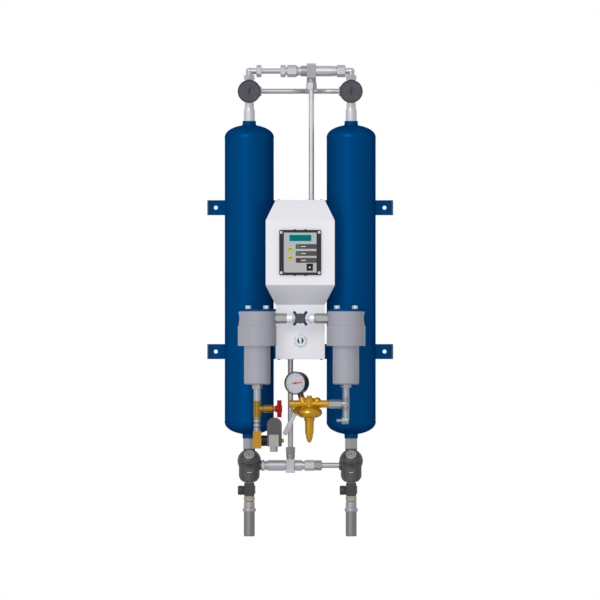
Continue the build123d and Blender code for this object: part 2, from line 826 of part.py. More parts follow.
with BuildPart() as check_valves:
    left_line = facing_right(left_valve_end, vessel_y, top_line_z)
    turned(left_line, (0, 9), (2.8, 9))
    hexagon(left_line, 25.0, 22.8, start=2.8, turn=30)
    turned(left_line, (25.6, 12.5), (30, 10), (left_valve_length, 10))
    turned(
        left_line, (-1, tube_outer / 2 + running_gap), (socket_depth, tube_outer / 2 + running_gap),
        (socket_depth, seat_radius), (left_valve_length - 6, seat_radius), mode=Mode.SUBTRACT,
    )
    check_chamber(facing_right(seat_places[0], vessel_y, top_line_z))
    right_line = facing_right(right_valve_start, vessel_y, top_line_z)
    right_length = right_valve_end - right_valve_start
    turned(
        right_line,
        (0, 12.45), (41, 12.45), (41, 11), (43.4, 11), (43.4, 12.5), (46.4, 12.5), (46.4, 10.6), (48, 10.6),
    )
    hexagon(right_line, 25.0, right_length - 48, start=48, turn=30)
    turned(
        right_line, (20, seat_radius), (right_length - socket_depth - seat_gap, seat_radius),
        (right_length - socket_depth - seat_gap, elbow_radius + running_gap),
        (right_length + 1, elbow_radius + running_gap), mode=Mode.SUBTRACT,
    )
    check_chamber(facing_left(seat_places[1], vessel_y, top_line_z))
finish(check_valves, "check_valves")


def check_poppet(flow):
    """Adds a poppet: sealing disc, stem and slotted guide ring."""
    turned(flow, (0.05, 7), (3, 7), (3, 3), (6, 3), (6, 8), (poppet_length, 8))
    with Locations(flow.offset(7.5)):
        with PolarLocations(8, 4):
            Box(5, 3, 4, mode=Mode.SUBTRACT)


with BuildPart() as left_check_poppet:
    check_poppet(facing_right(seat_places[0], vessel_y, top_line_z))
finish(left_check_poppet, "left_check_poppet")

with BuildPart() as right_check_poppet:
    check_poppet(facing_left(seat_places[1], vessel_y, top_line_z))
finish(right_check_poppet, "right_check_poppet")

# Outlet tee between the check valves
outlet_arm = 14.2
tee_block_width = 21.0
tee_block_height = 35.5
tee_block_depth = 26.0
lower_arm = 8.5
tee_block_bottom = top_line_z - tee_block_height / 2
riser_top = tee_block_bottom - lower_arm + socket_depth

with BuildPart() as outlet_tee:
    middle = right_valve_start - tee_block_width
    block(
        facing_right(middle, vessel_y, top_line_z),
        tee_block_depth, tee_block_height, tee_block_width, corner=3,
    )
    turned(facing_left(middle, vessel_y, top_line_z), (0, 12.5), (outlet_arm, 12.5))
    turned(facing_down(outlet_riser_x, vessel_y, tee_block_bottom), (-1, 10.8), (lower_arm, 10.8))
    turned(
        facing_left(right_valve_start, vessel_y, top_line_z),
        (-1, seat_radius), (tee_block_width + outlet_arm + 1, seat_radius), mode=Mode.SUBTRACT,
    )
    turned(
        facing_down(outlet_riser_x, vessel_y, top_line_z), (0, seat_radius),
        (top_line_z - riser_top, seat_radius), (top_line_z - riser_top, tube_outer / 2 + running_gap),
        (tee_block_height / 2 + lower_arm + 1, tube_outer / 2 + running_gap), mode=Mode.SUBTRACT,
    )
finish(outlet_tee, "outlet_tee")

# Straight and bowed tubes between the columns
valve_port_reach = 28.0
purge_end = vessel_x - purge_branch + socket_depth - seat_gap
manifold_right_end = 34.0

with BuildPart() as cross_tubes:
    start_x = -vessel_x + left_elbow_reach
    turned(
        facing_right(start_x, vessel_y, top_line_z),
        (0, tube_outer / 2), (left_valve_end + socket_depth - seat_gap - start_x, tube_outer / 2),
    )
    turned(
        facing_right(start_x - 1, vessel_y, top_line_z),
        (0, tube_outer / 2 - tube_wall), (90, tube_outer / 2 - tube_wall), mode=Mode.SUBTRACT,
    )
    back = vessel_y + purge_offset
    bent_tube(
        purge_outer, tube_wall, 24,
        (-purge_end, vessel_y, purge_line_z), (outlet_riser_x - 36, vessel_y, purge_line_z),
        (outlet_riser_x - 16, back, purge_line_z), (outlet_riser_x + 16, back, purge_line_z),
        (outlet_riser_x + 36, vessel_y, purge_line_z), (purge_end, vessel_y, purge_line_z),
    )
    low_start = manifold_right_end - socket_depth + seat_gap
    low_end = vessel_x - valve_port_reach + socket_depth - seat_gap
    bottom_tube = facing_right(low_start, vessel_y, bottom_line_z)
    turned(bottom_tube, (0, tube_outer / 2), (low_end - low_start, tube_outer / 2))
    turned(
        bottom_tube, (-1, tube_outer / 2 - tube_wall), (low_end - low_start + 1, tube_outer / 2 - tube_wall),
        mode=Mode.SUBTRACT,
    )
finish(cross_tubes, "cross_tubes")

# Risers, bent forward inside the cabinet to the port tees
riser_front = filter_y + rear_branch - socket_depth + seat_gap
inlet_arm_top = bottom_line_z + 27.9
inlet_riser_bottom = inlet_arm_top - socket_depth + seat_gap

with BuildPart() as outlet_riser:
    bent_tube(
        tube_outer, tube_wall, riser_bend,
        (outlet_riser_x, vessel_y, riser_top - seat_gap), (outlet_riser_x, vessel_y, port_z),
        (outlet_riser_x, riser_front, port_z),
    )
finish(outlet_riser, "outlet_riser")

with BuildPart() as inlet_riser:
    bent_tube(
        tube_outer, tube_wall, riser_bend,
        (inlet_riser_x, riser_front, port_z), (inlet_riser_x, vessel_y, port_z),
        (inlet_riser_x, vessel_y, inlet_riser_bottom),
    )
finish(inlet_riser, "inlet_riser")

# Gauges: cups with dial, pointer and lens; the regulator's gauge is turned and leans on its stem
gauge_bore = gauge_diameter / 2 - 2.2
gauge_turn = 23.0
gauge_lean = 18.4
regulator_gauge_place = (regulator_x - 33.7, filter_y - 8.5, regulator_z + 48.7)
regulator_stem_end = 36.0
dial_depth = 6.4
needle_angle = 78.0
regulator_needle_angle = 5.0
arbor_radius = 1.0
hub_radius = 2.6
turn_angle = radians(gauge_turn)
lean_angle = radians(gauge_lean)
dial_right = Vector(cos(turn_angle), -sin(turn_angle), 0)
dial_normal = Vector(-sin(turn_angle), -cos(turn_angle), 0)
stem_direction = dial_right * sin(lean_angle) - Vector(0, 0, cos(lean_angle))
top_gauge_front = vessel_y - gauge_branch - 10.0 - gauge_case_depth
regulator_gauge = Plane(
    origin=regulator_gauge_place, x_dir=stem_direction.cross(dial_normal), z_dir=dial_normal,
)
top_gauges = [facing_front(side * vessel_x, top_gauge_front, gauge_z) for side in sides]
gauge_planes = [*top_gauges, regulator_gauge]
stem_root = Vector(*regulator_gauge_place) - dial_normal * (gauge_case_depth / 2)


def gauge_case(plane):
    """Adds an open cup with a stepped back."""
    outer = gauge_diameter / 2
    turned(
        plane, (-gauge_case_depth, outer - 3), (2 - gauge_case_depth, outer - 1), (-5, outer - 1),
        (-5, outer), (0, outer),
    )
    turned(plane, (-dial_depth - 3, gauge_bore), (1, gauge_bore), mode=Mode.SUBTRACT)


with BuildPart() as gauge_cases:
    for plane in gauge_planes:
        gauge_case(plane)
    for plane in top_gauges:
        back = plane.offset(-gauge_case_depth)
        hexagon(back, 14.0, -10.0)
        turned(back, (-18.5, gauge_stem), (0, gauge_stem))
    stem = Plane(origin=stem_root, x_dir=dial_normal, z_dir=stem_direction)
    turned(
        stem, (gauge_diameter / 2 - 1.5, 7.0), (regulator_stem_end, 7.0),
        (regulator_stem_end, gauge_stem), (regulator_stem_end + 7, gauge_stem),
    )
finish(gauge_cases, "gauge_cases")

with BuildPart() as gauge_dials:
    for plane in gauge_planes:
        turned(
            plane, (-dial_depth, gauge_bore - running_gap), (1 - dial_depth, gauge_bore - running_gap),
        )
        eye = arbor_radius + running_gap
        turned(plane, (-dial_depth - 1, eye), (2 - dial_depth, eye), mode=Mode.SUBTRACT)
finish(gauge_dials, "gauge_dials")

with BuildPart() as gauge_lenses:
    for plane in gauge_planes:
        turned(plane, (-2.3, gauge_bore - running_gap), (-0.3, gauge_bore - running_gap))
finish(gauge_lenses, "gauge_lenses")


def pointer(plane, tip, tail, angle):
    """Adds a pointer: tapered blade, hub and arbor; the angle is counted from the plane's x."""
    with BuildSketch(plane.offset(2.2 - dial_depth)) as blade:
        with Locations(Rotation(0, 0, angle)):
            Trapezoid(tip, 2.4, 84, 92, align=(Align.MIN, Align.CENTER))
            with Locations((-tail / 2, 0)):
                Rectangle(tail, 2.6)
    extrude(blade.sketch, amount=0.8)
    turned(
        plane, (-dial_depth - 2, arbor_radius), (1.6 - dial_depth, arbor_radius),
        (1.6 - dial_depth, hub_radius), (3.6 - dial_depth, hub_radius),
    )


with BuildPart() as left_gauge_pointer:
    pointer(top_gauges[0], 10.4, 8.4, needle_angle)
finish(left_gauge_pointer, "left_gauge_pointer")

with BuildPart() as right_gauge_pointer:
    pointer(top_gauges[1], 10.4, 8.4, needle_angle)
finish(right_gauge_pointer, "right_gauge_pointer")

with BuildPart() as regulator_gauge_pointer:
    pointer(regulator_gauge, 16.0, 8.8, 180 + regulator_needle_angle - gauge_lean)
finish(regulator_gauge_pointer, "regulator_gauge_pointer")

# Left filter's drain: brass tee with a lever valve, then a solenoid drain valve
drain_x = left_filter_x
tee_barrel = 8.85
tee_top = tee_z + 18.4
tee_bottom = tee_z - 19.5
drain_branch = 36.3
spindle_radius = 4.0
handle_gap = 5.8
handle_length = 40.0
handle_width = 16.2
grip_thickness = 10.0
grip_width = 10.8
grip_offset = 1.4
block_top = tee_bottom - 32.8
block_bottom = block_top - 40.3
block_half = 9.7
coil_axis_z = block_bottom + 18.3
coil_left = drain_x + 22.9
coil_right = coil_left + 34.5
coil_top = coil_axis_z + 54.0
coil_bottom = coil_axis_z - 13.6
coil_depth = 34.0

with BuildPart() as drain_tee:
    drop = facing_down(drain_x, filter_y, bowl_bottom)
    hexagon(drop, 20.5, 11.0)
    turned(
        drop, (-3.5, 5.9), (0, 5.9), (0, 8.4), (bowl_bottom - tee_top, 8.4),
        (bowl_bottom - tee_top, tee_barrel), (bowl_bottom - tee_bottom, tee_barrel),
    )
    branch = facing_right(drain_x, filter_y, tee_z)
    turned(branch, (0, 7.6), (14, 7.6), (15.5, 9.2), (drain_branch - 1.5, 9.2), (drain_branch, 8))
    turned(
        branch, (drain_branch - 14, spindle_radius + running_gap),
        (drain_branch + 1, spindle_radius + running_gap), mode=Mode.SUBTRACT,
    )
    turned(drop, (-4, 3), (25, 3), mode=Mode.SUBTRACT)
    turned(
        facing_up(drain_x, filter_y, tee_bottom), (-1, 5 + running_gap), (8, 5 + running_gap),
        mode=Mode.SUBTRACT,
    )
finish(drain_tee, "drain_tee")

with BuildPart() as drain_handle:
    spindle = facing_right(drain_x + drain_branch, filter_y, tee_z)
    turned(
        spindle, (-13.5, spindle_radius), (seat_gap, spindle_radius), (seat_gap, 6), (handle_gap + 2, 6),
    )
    grip = spindle.offset(handle_gap)
    grip_x = drain_x + drain_branch + handle_gap + handle_width / 2
    with BuildSketch(facing_front(grip_x, filter_y - grip_thickness / 2, tee_z)) as wings:
        Rectangle(handle_width, handle_width)
        with Locations((grip_offset, 0)):
            Rectangle(grip_width, handle_length)
        fillet(wings.vertices(), 0.6)
    extrude(amount=-grip_thickness)
    turned(grip, (0, 6.5), (handle_width, 6.5))
finish(drain_handle, "drain_handle")

with BuildPart() as drain_valve:
    nipple = facing_down(drain_x, filter_y, tee_bottom)
    turned(nipple, (-7.5, 5), (0, 5), (0, 7.35), (tee_bottom - block_top, 7.35))
    for ring in range(3):
        turned(nipple, (6 + 10 * ring, 8.2), (10 + 10 * ring, 8.2))
    block(facing_down(drain_x, filter_y, block_top), 2 * block_half, 26, block_top - block_bottom)
    turned(
        facing_up(drain_x, filter_y, block_bottom), (-1, 5), (10, 5), mode=Mode.SUBTRACT,
    )
finish(drain_valve, "drain_valve")

# Regulator in the right filter's drain line, hung from its horizontal ports
port_left = regulator_x - 47.1
port_right = regulator_x + 45.1
regulator_port = 8.75
regulator_port_bore = 5.1
dome_middle = regulator_z - 20.9
neck_bottom = dome_middle - 50.1
screw_spigot = 19.0
screw_room = 1.1
boss_x = regulator_x + 18.3
relief_direction = Vector(-0.442, 1.0, -0.897).normalized()
relief_root = Vector(regulator_x - 22.9, filter_y, regulator_z)
relief_boss = 28.3
bleed_radius = 5.4
bleed_length = 80.0

with BuildPart() as regulator_body:
    ports = facing_right(port_left, filter_y, regulator_z)
    turned(ports, (0, regulator_port - 1), (1, regulator_port), (port_right - port_left, regulator_port))
    column = facing_up(regulator_x, filter_y, regulator_z)
    dome_bottom = dome_middle - regulator_z
    bulged(column, (dome_bottom, dome_diameter / 2), (dome_bottom + 8, dome_diameter / 2 - 3), (-6, 13))
    turned(column, (-8, 11), (13, 11), (14.4, 9.5), (14.4, 6), (19.6, 6))
    bulged(facing_up(boss_x, filter_y, regulator_z), (0, 7.3), (13, 6.3), (15.5, 3))
    gauge_boss = Plane(origin=stem_root + stem_direction * regulator_stem_end, z_dir=stem_direction)
    turned(gauge_boss, (0, 8), (14, 8))
    relief = Plane(origin=relief_root, z_dir=relief_direction)
    turned(relief, (0, 7.5), (relief_boss, 7.5))
    turned(gauge_boss, (-1, gauge_stem + running_gap), (7.5, gauge_stem + running_gap), mode=Mode.SUBTRACT)
    turned(
        relief, (relief_boss - socket_depth, bleed_radius + running_gap),
        (relief_boss + 1, bleed_radius + running_gap), mode=Mode.SUBTRACT,
    )
    turned(
        facing_left(port_right, filter_y, regulator_z),
        (-1, regulator_port_bore), (socket_depth, regulator_port_bore), mode=Mode.SUBTRACT,
    )
finish(regulator_body, "regulator_body")

with BuildPart() as regulator_bonnet:
    bonnet = facing_down(regulator_x, filter_y, dome_middle)
    bulged(bonnet, (0, dome_diameter / 2), (5.5, dome_diameter / 2 - 3), (11.5, 12.4))
    turned(
        bonnet, (10, 12.4), (15, 12.4), (18.5, 11.3), (18.5, 10.2), (dome_middle - neck_bottom - 2, 9.8),
        (dome_middle - neck_bottom, 8.8),
    )
    turned(
        facing_down(regulator_x, filter_y, neck_bottom), (-screw_spigot - screw_room, 4 + running_gap),
        (1, 4 + running_gap), mode=Mode.SUBTRACT,
    )
finish(regulator_bonnet, "regulator_bonnet")

with BuildPart() as regulator_screw:
    screw = facing_down(regulator_x, filter_y, neck_bottom)
    turned(screw, (-screw_spigot, 4), (seat_gap, 4))
    turned(screw, (seat_gap, 7.6), (2, 8.4), (4, 8.4), (5, 7.8))
    bulged(screw, (4.5, 7.8), (12, 6.2), (18.6, 2.4))
    block(screw.offset(15), 2, 20, 5, mode=Mode.SUBTRACT)
finish(regulator_screw, "regulator_screw")

with BuildPart() as bleed_tube:
    outlet = relief.offset(relief_boss)
    hexagon(outlet, 14.0, 8.0, start=running_gap)
    turned(outlet, (seat_gap - socket_depth, bleed_radius), (bleed_length, bleed_radius))
    bleed_bore = bleed_radius - 1
    turned(outlet, (-socket_depth, bleed_bore), (bleed_length + 1, bleed_bore), mode=Mode.SUBTRACT)
finish(bleed_tube, "bleed_tube")

# Right filter's drain pipe with its tee, coupling, elbow and hose barb
pipe_x = right_filter_x
coupling_left = port_right
coupling_right = pipe_x - 10.4
elbow_drop = 38.2
elbow_z = regulator_z - elbow_drop

with BuildPart() as drain_pipe:
    drop = facing_down(pipe_x, filter_y, bowl_bottom)
    hexagon(drop, 22.0, 7.9)
    turned(drop, (-3.5, 5.9), (0, 5.9), (0, 7.8), (bowl_bottom - elbow_z, 7.8))
    turned(
        facing_down(pipe_x, filter_y, regulator_z + 15), (0, 7.8), (1, 8.8), (10, 8.8), (11, 8.2), (19, 8.2),
        (20, 8.8), (29, 8.8), (30, 7.8),
    )
    turned(facing_left(pipe_x, filter_y, regulator_z), (0, 8.5), (pipe_x - coupling_right, 8.5))
    coupling = facing_right(coupling_left, filter_y, regulator_z)
    hexagon(coupling, 18.2, coupling_right - coupling_left, turn=30)
    turned(coupling, (0.5 - socket_depth, 5), (1, 5))
    elbow = facing_left(pipe_x + 6, filter_y, elbow_z)
    turned(elbow, (0, 8), (1, 8.8), (15, 8.8), (16.4, 7), (16.4, 3.4), (24, 3.4), (24, 4.2), (27.8, 2.8))
    turned(drop, (-4, 3), (60, 3), mode=Mode.SUBTRACT)
finish(drain_pipe, "drain_pipe")

# Bottom manifold: inlet tee, two barrels and their hexes
barrel_radius = 12.7
line_bore = 4.5
arm_bore = 4.0
valve_port_end = -(vessel_x - valve_port_reach)
left_hex = 8.2
inlet_tee_left = -33.1
inlet_tee_right = -12.8
inlet_tee_top = bottom_line_z + 13.4
inlet_tee_bottom = bottom_line_z - 17.5

with BuildPart() as bottom_manifold:
    left_end = facing_right(valve_port_end, vessel_y, bottom_line_z)
    start = -valve_port_end
    turned(left_end, (0.5 - socket_depth, nipple_spigot), (0, nipple_spigot))
    hexagon(left_end, 22.0, left_hex, turn=30)
    turned(
        left_end, (left_hex, 9), (left_hex + 2.1, 9), (left_hex + 2.1, 11.5), (left_hex + 5.1, 11.5),
        (left_hex + 5.1, 10), (left_hex + 7.4, 10), (left_hex + 7.4, barrel_radius),
        (start - 34.5, barrel_radius), (start - 34.5, 10), (start + inlet_tee_left + 1, 10),
    )
    block(
        facing_down(inlet_riser_x - 0.3, vessel_y, inlet_tee_top), inlet_tee_right - inlet_tee_left, 22,
        inlet_tee_top - inlet_tee_bottom, corner=2,
    )
    turned(
        facing_down(inlet_riser_x, vessel_y, inlet_arm_top),
        (0, 9), (1.5, 9), (1.5, 10.5), (8.5, 10.5), (8.5, 9.5), (inlet_arm_top - inlet_tee_top + 1, 9.5),
    )
    turned(
        left_end, (start + inlet_tee_right - 1, 10), (start - 12.1, 10), (start - 12.1, barrel_radius),
        (start + 4.2, barrel_radius), (start + 4.2, 10), (start + 10.2, 10),
    )
    hexagon(left_end, 22.0, manifold_right_end - 10.2, start=start + 10.2, turn=30)
    turned(
        left_end, (-socket_depth, line_bore), (start + manifold_right_end - socket_depth + 1, line_bore),
        mode=Mode.SUBTRACT,
    )
    turned(
        facing_left(manifold_right_end, vessel_y, bottom_line_z), (-1, tube_outer / 2 + running_gap),
        (socket_depth, tube_outer / 2 + running_gap), mode=Mode.SUBTRACT,
    )
    turned(
        facing_down(inlet_riser_x, vessel_y, inlet_arm_top),
        (-1, tube_outer / 2 + running_gap), (socket_depth, tube_outer / 2 + running_gap),
        (socket_depth, arm_bore), (inlet_arm_top - bottom_line_z, arm_bore), mode=Mode.SUBTRACT,
    )
finish(bottom_manifold, "bottom_manifold")

# Tube nuts, all bored to slide on their tubes
outlet_nut = facing_down(outlet_riser_x, vessel_y, tee_block_bottom - lower_arm).rotated((0, 0, 15))
nut_places = (
    (facing_right(-vessel_x + left_elbow_reach, vessel_y, top_line_z), 25.0, 11.9, tube_outer),
    (facing_left(left_valve_end, vessel_y, top_line_z), 25.0, 12.6, tube_outer),
    (facing_right(-vessel_x + purge_branch, vessel_y, purge_line_z), 20.5, 14.5, purge_outer),
    (facing_left(vessel_x - purge_branch, vessel_y, purge_line_z), 20.5, 14.5, purge_outer),
    (outlet_nut, 22.0, 17.0, tube_outer),
    (facing_up(inlet_riser_x, vessel_y, inlet_arm_top), 21.5, 14.9, tube_outer),
    (facing_right(manifold_right_end, vessel_y, bottom_line_z), 20.5, 16.3, tube_outer),
    (facing_back(inlet_riser_x, filter_y + rear_branch, port_z), 20.5, 12.0, tube_outer),
    (facing_back(outlet_riser_x, filter_y + rear_branch, port_z), 20.5, 12.0, tube_outer),
)

with BuildPart() as tube_nuts:
    for plane, flats, length, inside in nut_places:
        hexagon(plane, flats, length, turn=30)
        bore = inside / 2 + running_gap
        turned(plane, (-1, bore), (length + 1, bore), mode=Mode.SUBTRACT)
finish(tube_nuts, "tube_nuts")

# Bottom three-way valves: body, round bonnet on a tilted axis, side port and exhaust
valve_top = -neck_z - bottom_nipple_length
valve_cone_bottom = valve_body_bottom - 9.3
bonnet_face = 25.0
plunger_radius = 9.0
chamber_back = -13.0
plunger_length = 17.0
chamber_front = chamber_back + plunger_length + plunger_travel + 1
arm_length = 46.0
shoulder_rise = 11.0
arm_bottom = valve_body_bottom + 11.9
tilt = radians(valve_tilt)
valve_axis = Vector(0, -cos(tilt), sin(tilt))


def bonnet_plane(side):
    """The plane across the bonnet's tilted axis, at the centre of its round form."""
    return Plane(origin=(side * vessel_x, vessel_y, valve_centre_z), x_dir=(1, 0, 0), z_dir=valve_axis)


with BuildPart() as valve_bodies:
    for side in sides:
        x = side * vessel_x
        inward = facing_left if side > 0 else facing_right
        upright = facing_down(x, vessel_y, valve_top)
        body_radius = valve_body_diameter / 2
        body_top = valve_top - valve_centre_z - shoulder_rise
        round_start = valve_top - valve_body_bottom - 6
        turned(upright, (0, 13.5), (8, 13.5))
        turned(upright, (body_top, body_radius), (round_start, body_radius))
        bulged(
            upright, (round_start, body_radius), (round_start + 9.5, body_radius - 3.6),
            (valve_top - valve_cone_bottom, 12.8),
        )
        across = Plane(origin=bonnet_plane(side).origin, x_dir=(1, 0, 0), z_dir=(0, sin(tilt), cos(tilt)))
        with BuildSketch(across) as ball:
            with BuildLine():
                flat = sqrt(valve_bonnet_radius ** 2 - bonnet_face ** 2)
                Polyline((0, valve_bonnet_radius), (0, -bonnet_face), (flat, -bonnet_face))
                ThreePointArc((flat, -bonnet_face), (valve_bonnet_radius, 0), (0, valve_bonnet_radius))
            make_face()
        revolve(ball.sketch, axis=Axis(bonnet_plane(side).origin, valve_axis))
        turned(bonnet_plane(side), (bonnet_face - 1, flat - 0.5), (bonnet_face + 1.5, flat - 0.5))
        turned(inward(x, vessel_y, bottom_line_z), (0, 11), (valve_port_reach, 11))
        block(facing_down(x, vessel_y - arm_length / 2, arm_bottom + 10), 22, arm_length, 10)
        turned(
            inward(x, vessel_y, bottom_line_z), (12, 4.5), (valve_port_reach - socket_depth, 4.5),
            (valve_port_reach - socket_depth, nipple_spigot + running_gap),
            (valve_port_reach + 1, nipple_spigot + running_gap), mode=Mode.SUBTRACT,
        )
        turned(upright, (-1, 9 + running_gap), (9.5, 9 + running_gap), mode=Mode.SUBTRACT)
        turned(
            bonnet_plane(side), (chamber_back, plunger_radius + running_gap),
            (chamber_front, plunger_radius + running_gap), mode=Mode.SUBTRACT,
        )
        turned(
            facing_up(x, vessel_y, valve_cone_bottom), (-1, nipple_spigot + running_gap),
            (8, nipple_spigot + running_gap), mode=Mode.SUBTRACT,
        )
finish(valve_bodies, "valve_bodies")


def plunger(side):
    """Adds the sliding plunger with its sealing nose and an O-ring groove."""
    turned(
        bonnet_plane(side), (chamber_back + 0.2, 6), (chamber_back + 2, plunger_radius),
        (chamber_back + 8, plunger_radius), (chamber_back + 8, 7.5), (chamber_back + 10, 7.5),
        (chamber_back + 10, plunger_radius), (chamber_back + plunger_length, plunger_radius),
    )


with BuildPart() as left_valve_plunger:
    plunger(-1)
finish(left_valve_plunger, "left_valve_plunger")

with BuildPart() as right_valve_plunger:
    plunger(1)
finish(right_valve_plunger, "right_valve_plunger")

# Solenoid coils: one under each bottom valve's arm and one on the drain valve
pilot_y = vessel_y - arm_length + 10
pilot_bottom = arm_bottom - 21.2
plug_width = 24.0
plug_top = arm_bottom - 23.5
plug_bottom = plug_top - 30.2

with BuildPart() as solenoid_coils:
    for side in sides:
        turned(
            facing_down(side * vessel_x, pilot_y, arm_bottom), (0, 11), (arm_bottom - pilot_bottom - 1.5, 11),
            (arm_bottom - pilot_bottom, 9.5), (arm_bottom - plug_top, 9.5),
        )
    core = facing_right(drain_x + block_half, filter_y, coil_axis_z)
    coil_start = coil_left - drain_x - block_half
    coil_width = coil_right - coil_left
    turned(core, (0, 12.5), (coil_start, 12.5))
    coil_front = facing_front(
        (coil_left + coil_right) / 2, filter_y - coil_depth / 2, (coil_top + coil_bottom) / 2,
    )
    with BuildSketch(coil_front) as coil_form:
        Rectangle(coil_width, coil_top - coil_bottom)
        fillet(coil_form.vertices().group_by(Axis.Y)[-1], coil_width / 2 - 1)
        fillet(coil_form.vertices().group_by(Axis.Y)[0], 3)
    extrude(coil_form.sketch, amount=-coil_depth)
    hexagon(core, 9.0, 5.1, start=coil_start + coil_width)
finish(solenoid_coils, "solenoid_coils")

with BuildPart() as coil_plugs:
    for side in sides:
        x = side * vessel_x
        block(facing_down(x, pilot_y, plug_top), plug_width, 26, plug_top - plug_bottom, corner=3)
        gland = facing_left(x - plug_width / 2, pilot_y, (plug_top + plug_bottom) / 2 - 1.9)
        hexagon(gland, 19.0, 4.0, turn=30)
        turned(gland, (4, 9.8), (5, 10.8), (13, 10.8), (14.7, 9.3))
        turned(gland, (8, 3.5), (16, 3.5), mode=Mode.SUBTRACT)
    coil_face = filter_y - coil_depth / 2
    drain_plug_x = (coil_left + coil_right) / 2 - 1.4
    block(facing_front(drain_plug_x, coil_face, coil_axis_z), plug_width - 1, 28, 20, corner=3)
    cable_end = facing_down(drain_plug_x, coil_face - 10, coil_axis_z - 13)
    turned(cable_end, (-5, 9.3), (11, 9.3), (13, 8))
    turned(cable_end, (3, 3.5), (14, 3.5), mode=Mode.SUBTRACT)
finish(coil_plugs, "coil_plugs")

# Exhaust silencers under the bottom valves
exhaust_hex_top = valve_cone_bottom - 32.5
flange_top = exhaust_hex_top - 28.0
silencer_top = flange_top - 8.1
silencer_length = 58.0
silencer_bottom = silencer_top - silencer_length
silencer_radius = 12.8

with BuildPart() as mufflers:
    for side in sides:
        pipe = facing_down(side * vessel_x, vessel_y, valve_cone_bottom)
        hex_start = valve_cone_bottom - exhaust_hex_top
        turned(pipe, (-7.5, nipple_spigot), (0, nipple_spigot), (0, 10), (hex_start, 10))
        hexagon(pipe, 22.0, 12.6, start=hex_start)
        turned(
            pipe, (hex_start + 12.6, 10), (hex_start + 14, silencer_radius),
            (hex_start + 27, silencer_radius), (hex_start + 27, 11),
            (valve_cone_bottom - flange_top, 11), (valve_cone_bottom - flange_top, 15.3),
            (valve_cone_bottom - silencer_top, 15.3), (valve_cone_bottom - silencer_top, silencer_radius),
            (valve_cone_bottom - silencer_bottom - 2, silencer_radius),
            (valve_cone_bottom - silencer_bottom, 11),
        )
        turned(pipe, (-8, 4.5), (hex_start + 20, 4.5), mode=Mode.SUBTRACT)
finish(mufflers, "mufflers")
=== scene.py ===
import json
import math

import bmesh
import bpy
from mathutils import Matrix, Vector

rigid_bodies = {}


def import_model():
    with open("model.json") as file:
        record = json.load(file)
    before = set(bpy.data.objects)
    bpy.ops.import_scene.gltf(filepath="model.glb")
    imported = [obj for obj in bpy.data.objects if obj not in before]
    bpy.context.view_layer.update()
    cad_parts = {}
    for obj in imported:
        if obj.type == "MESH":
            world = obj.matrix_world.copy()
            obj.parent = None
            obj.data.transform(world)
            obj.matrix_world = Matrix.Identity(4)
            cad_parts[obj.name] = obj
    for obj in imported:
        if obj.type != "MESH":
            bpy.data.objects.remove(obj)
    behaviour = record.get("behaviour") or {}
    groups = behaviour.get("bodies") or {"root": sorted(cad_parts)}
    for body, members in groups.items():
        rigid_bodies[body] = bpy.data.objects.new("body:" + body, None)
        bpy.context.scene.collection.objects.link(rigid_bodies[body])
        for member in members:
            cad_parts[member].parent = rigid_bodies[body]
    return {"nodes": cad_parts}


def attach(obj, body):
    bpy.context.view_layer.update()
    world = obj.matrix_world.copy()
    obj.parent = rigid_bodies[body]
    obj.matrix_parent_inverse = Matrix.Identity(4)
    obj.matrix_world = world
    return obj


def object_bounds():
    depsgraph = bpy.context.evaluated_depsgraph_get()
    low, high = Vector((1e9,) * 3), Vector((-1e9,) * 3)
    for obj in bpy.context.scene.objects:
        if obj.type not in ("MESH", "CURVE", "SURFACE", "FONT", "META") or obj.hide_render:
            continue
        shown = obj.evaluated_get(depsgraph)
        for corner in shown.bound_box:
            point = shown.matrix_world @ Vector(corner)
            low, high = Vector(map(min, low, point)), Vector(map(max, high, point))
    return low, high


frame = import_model()
cad_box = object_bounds()
nodes = frame["nodes"]
ROOT = "dryer"
MM = 0.001

# Places of the solids that the trim sits on, in millimetres
VESSEL_X = 118.6
VESSEL_Y = -61.45
VESSEL_R = 57.15
NECK_R = 15.6
CROWN_Z = 360.6
SEAM_Z = 332.0
FILTER_Y = -165.0
PANEL_FRONT = -172.1
GAUGE_FRONT = -112.45
GAUGE_Z = 438.3
DIAL_DEPTH = 5.4
BONNET_Z = -421.7
BONNET_TILT = math.radians(35)
BONNET_R = 27.5
CAP_FRONT = 26.5
PILOT_Y = -97.45
DRAIN_X = -100.2
PIPE_X = 106.5
REGULATOR_X = 21.3
REGULATOR_Z = -289.5
NECK_BOTTOM = -360.5
HANDLE_BACK = -182.3
HANDLE_Z = -90.2
BEZEL_FRONT = -172.5

# Borders between two colours of one finish, in metres
RAIL_LIP_X = 0.2123
RAIL_LIP_Y = -0.0128
LEVER_HUB_X = -0.0585
HANDLE_CAP_Y = -0.1884
MIDDLE = 0.0
BOLT_BORDER = -0.178
TEE_BORDER = -0.2823
DRAIN_BORDER = -0.353
MANIFOLD_BORDER = -0.4175
NUT_BORDER = -0.3
PORT_NIPPLE_X = 0.0315
DRAIN_COIL_LEFT = -0.0773
DRAIN_COIL_RIGHT = -0.0428
COIL_BORDER = -0.43
RED_LAMP_BORDER = 0.0531
SILENCER_HEX_BOTTOM = -0.5163
SILENCER_HEX_TOP = -0.5035
SILENCER_HEX_SIDE = 0.0072
SINTERED_TOP = -0.5397
WINDOW_X = 0.0005
WINDOW_HIGHLIGHT_HALF_WIDTH = 0.0022

# Cells of the display in metres, and the share of a cell that its line takes
CELL_WIDTH = 0.0006
CELL_HEIGHT = 0.0008
CELL_LINE = 0.12


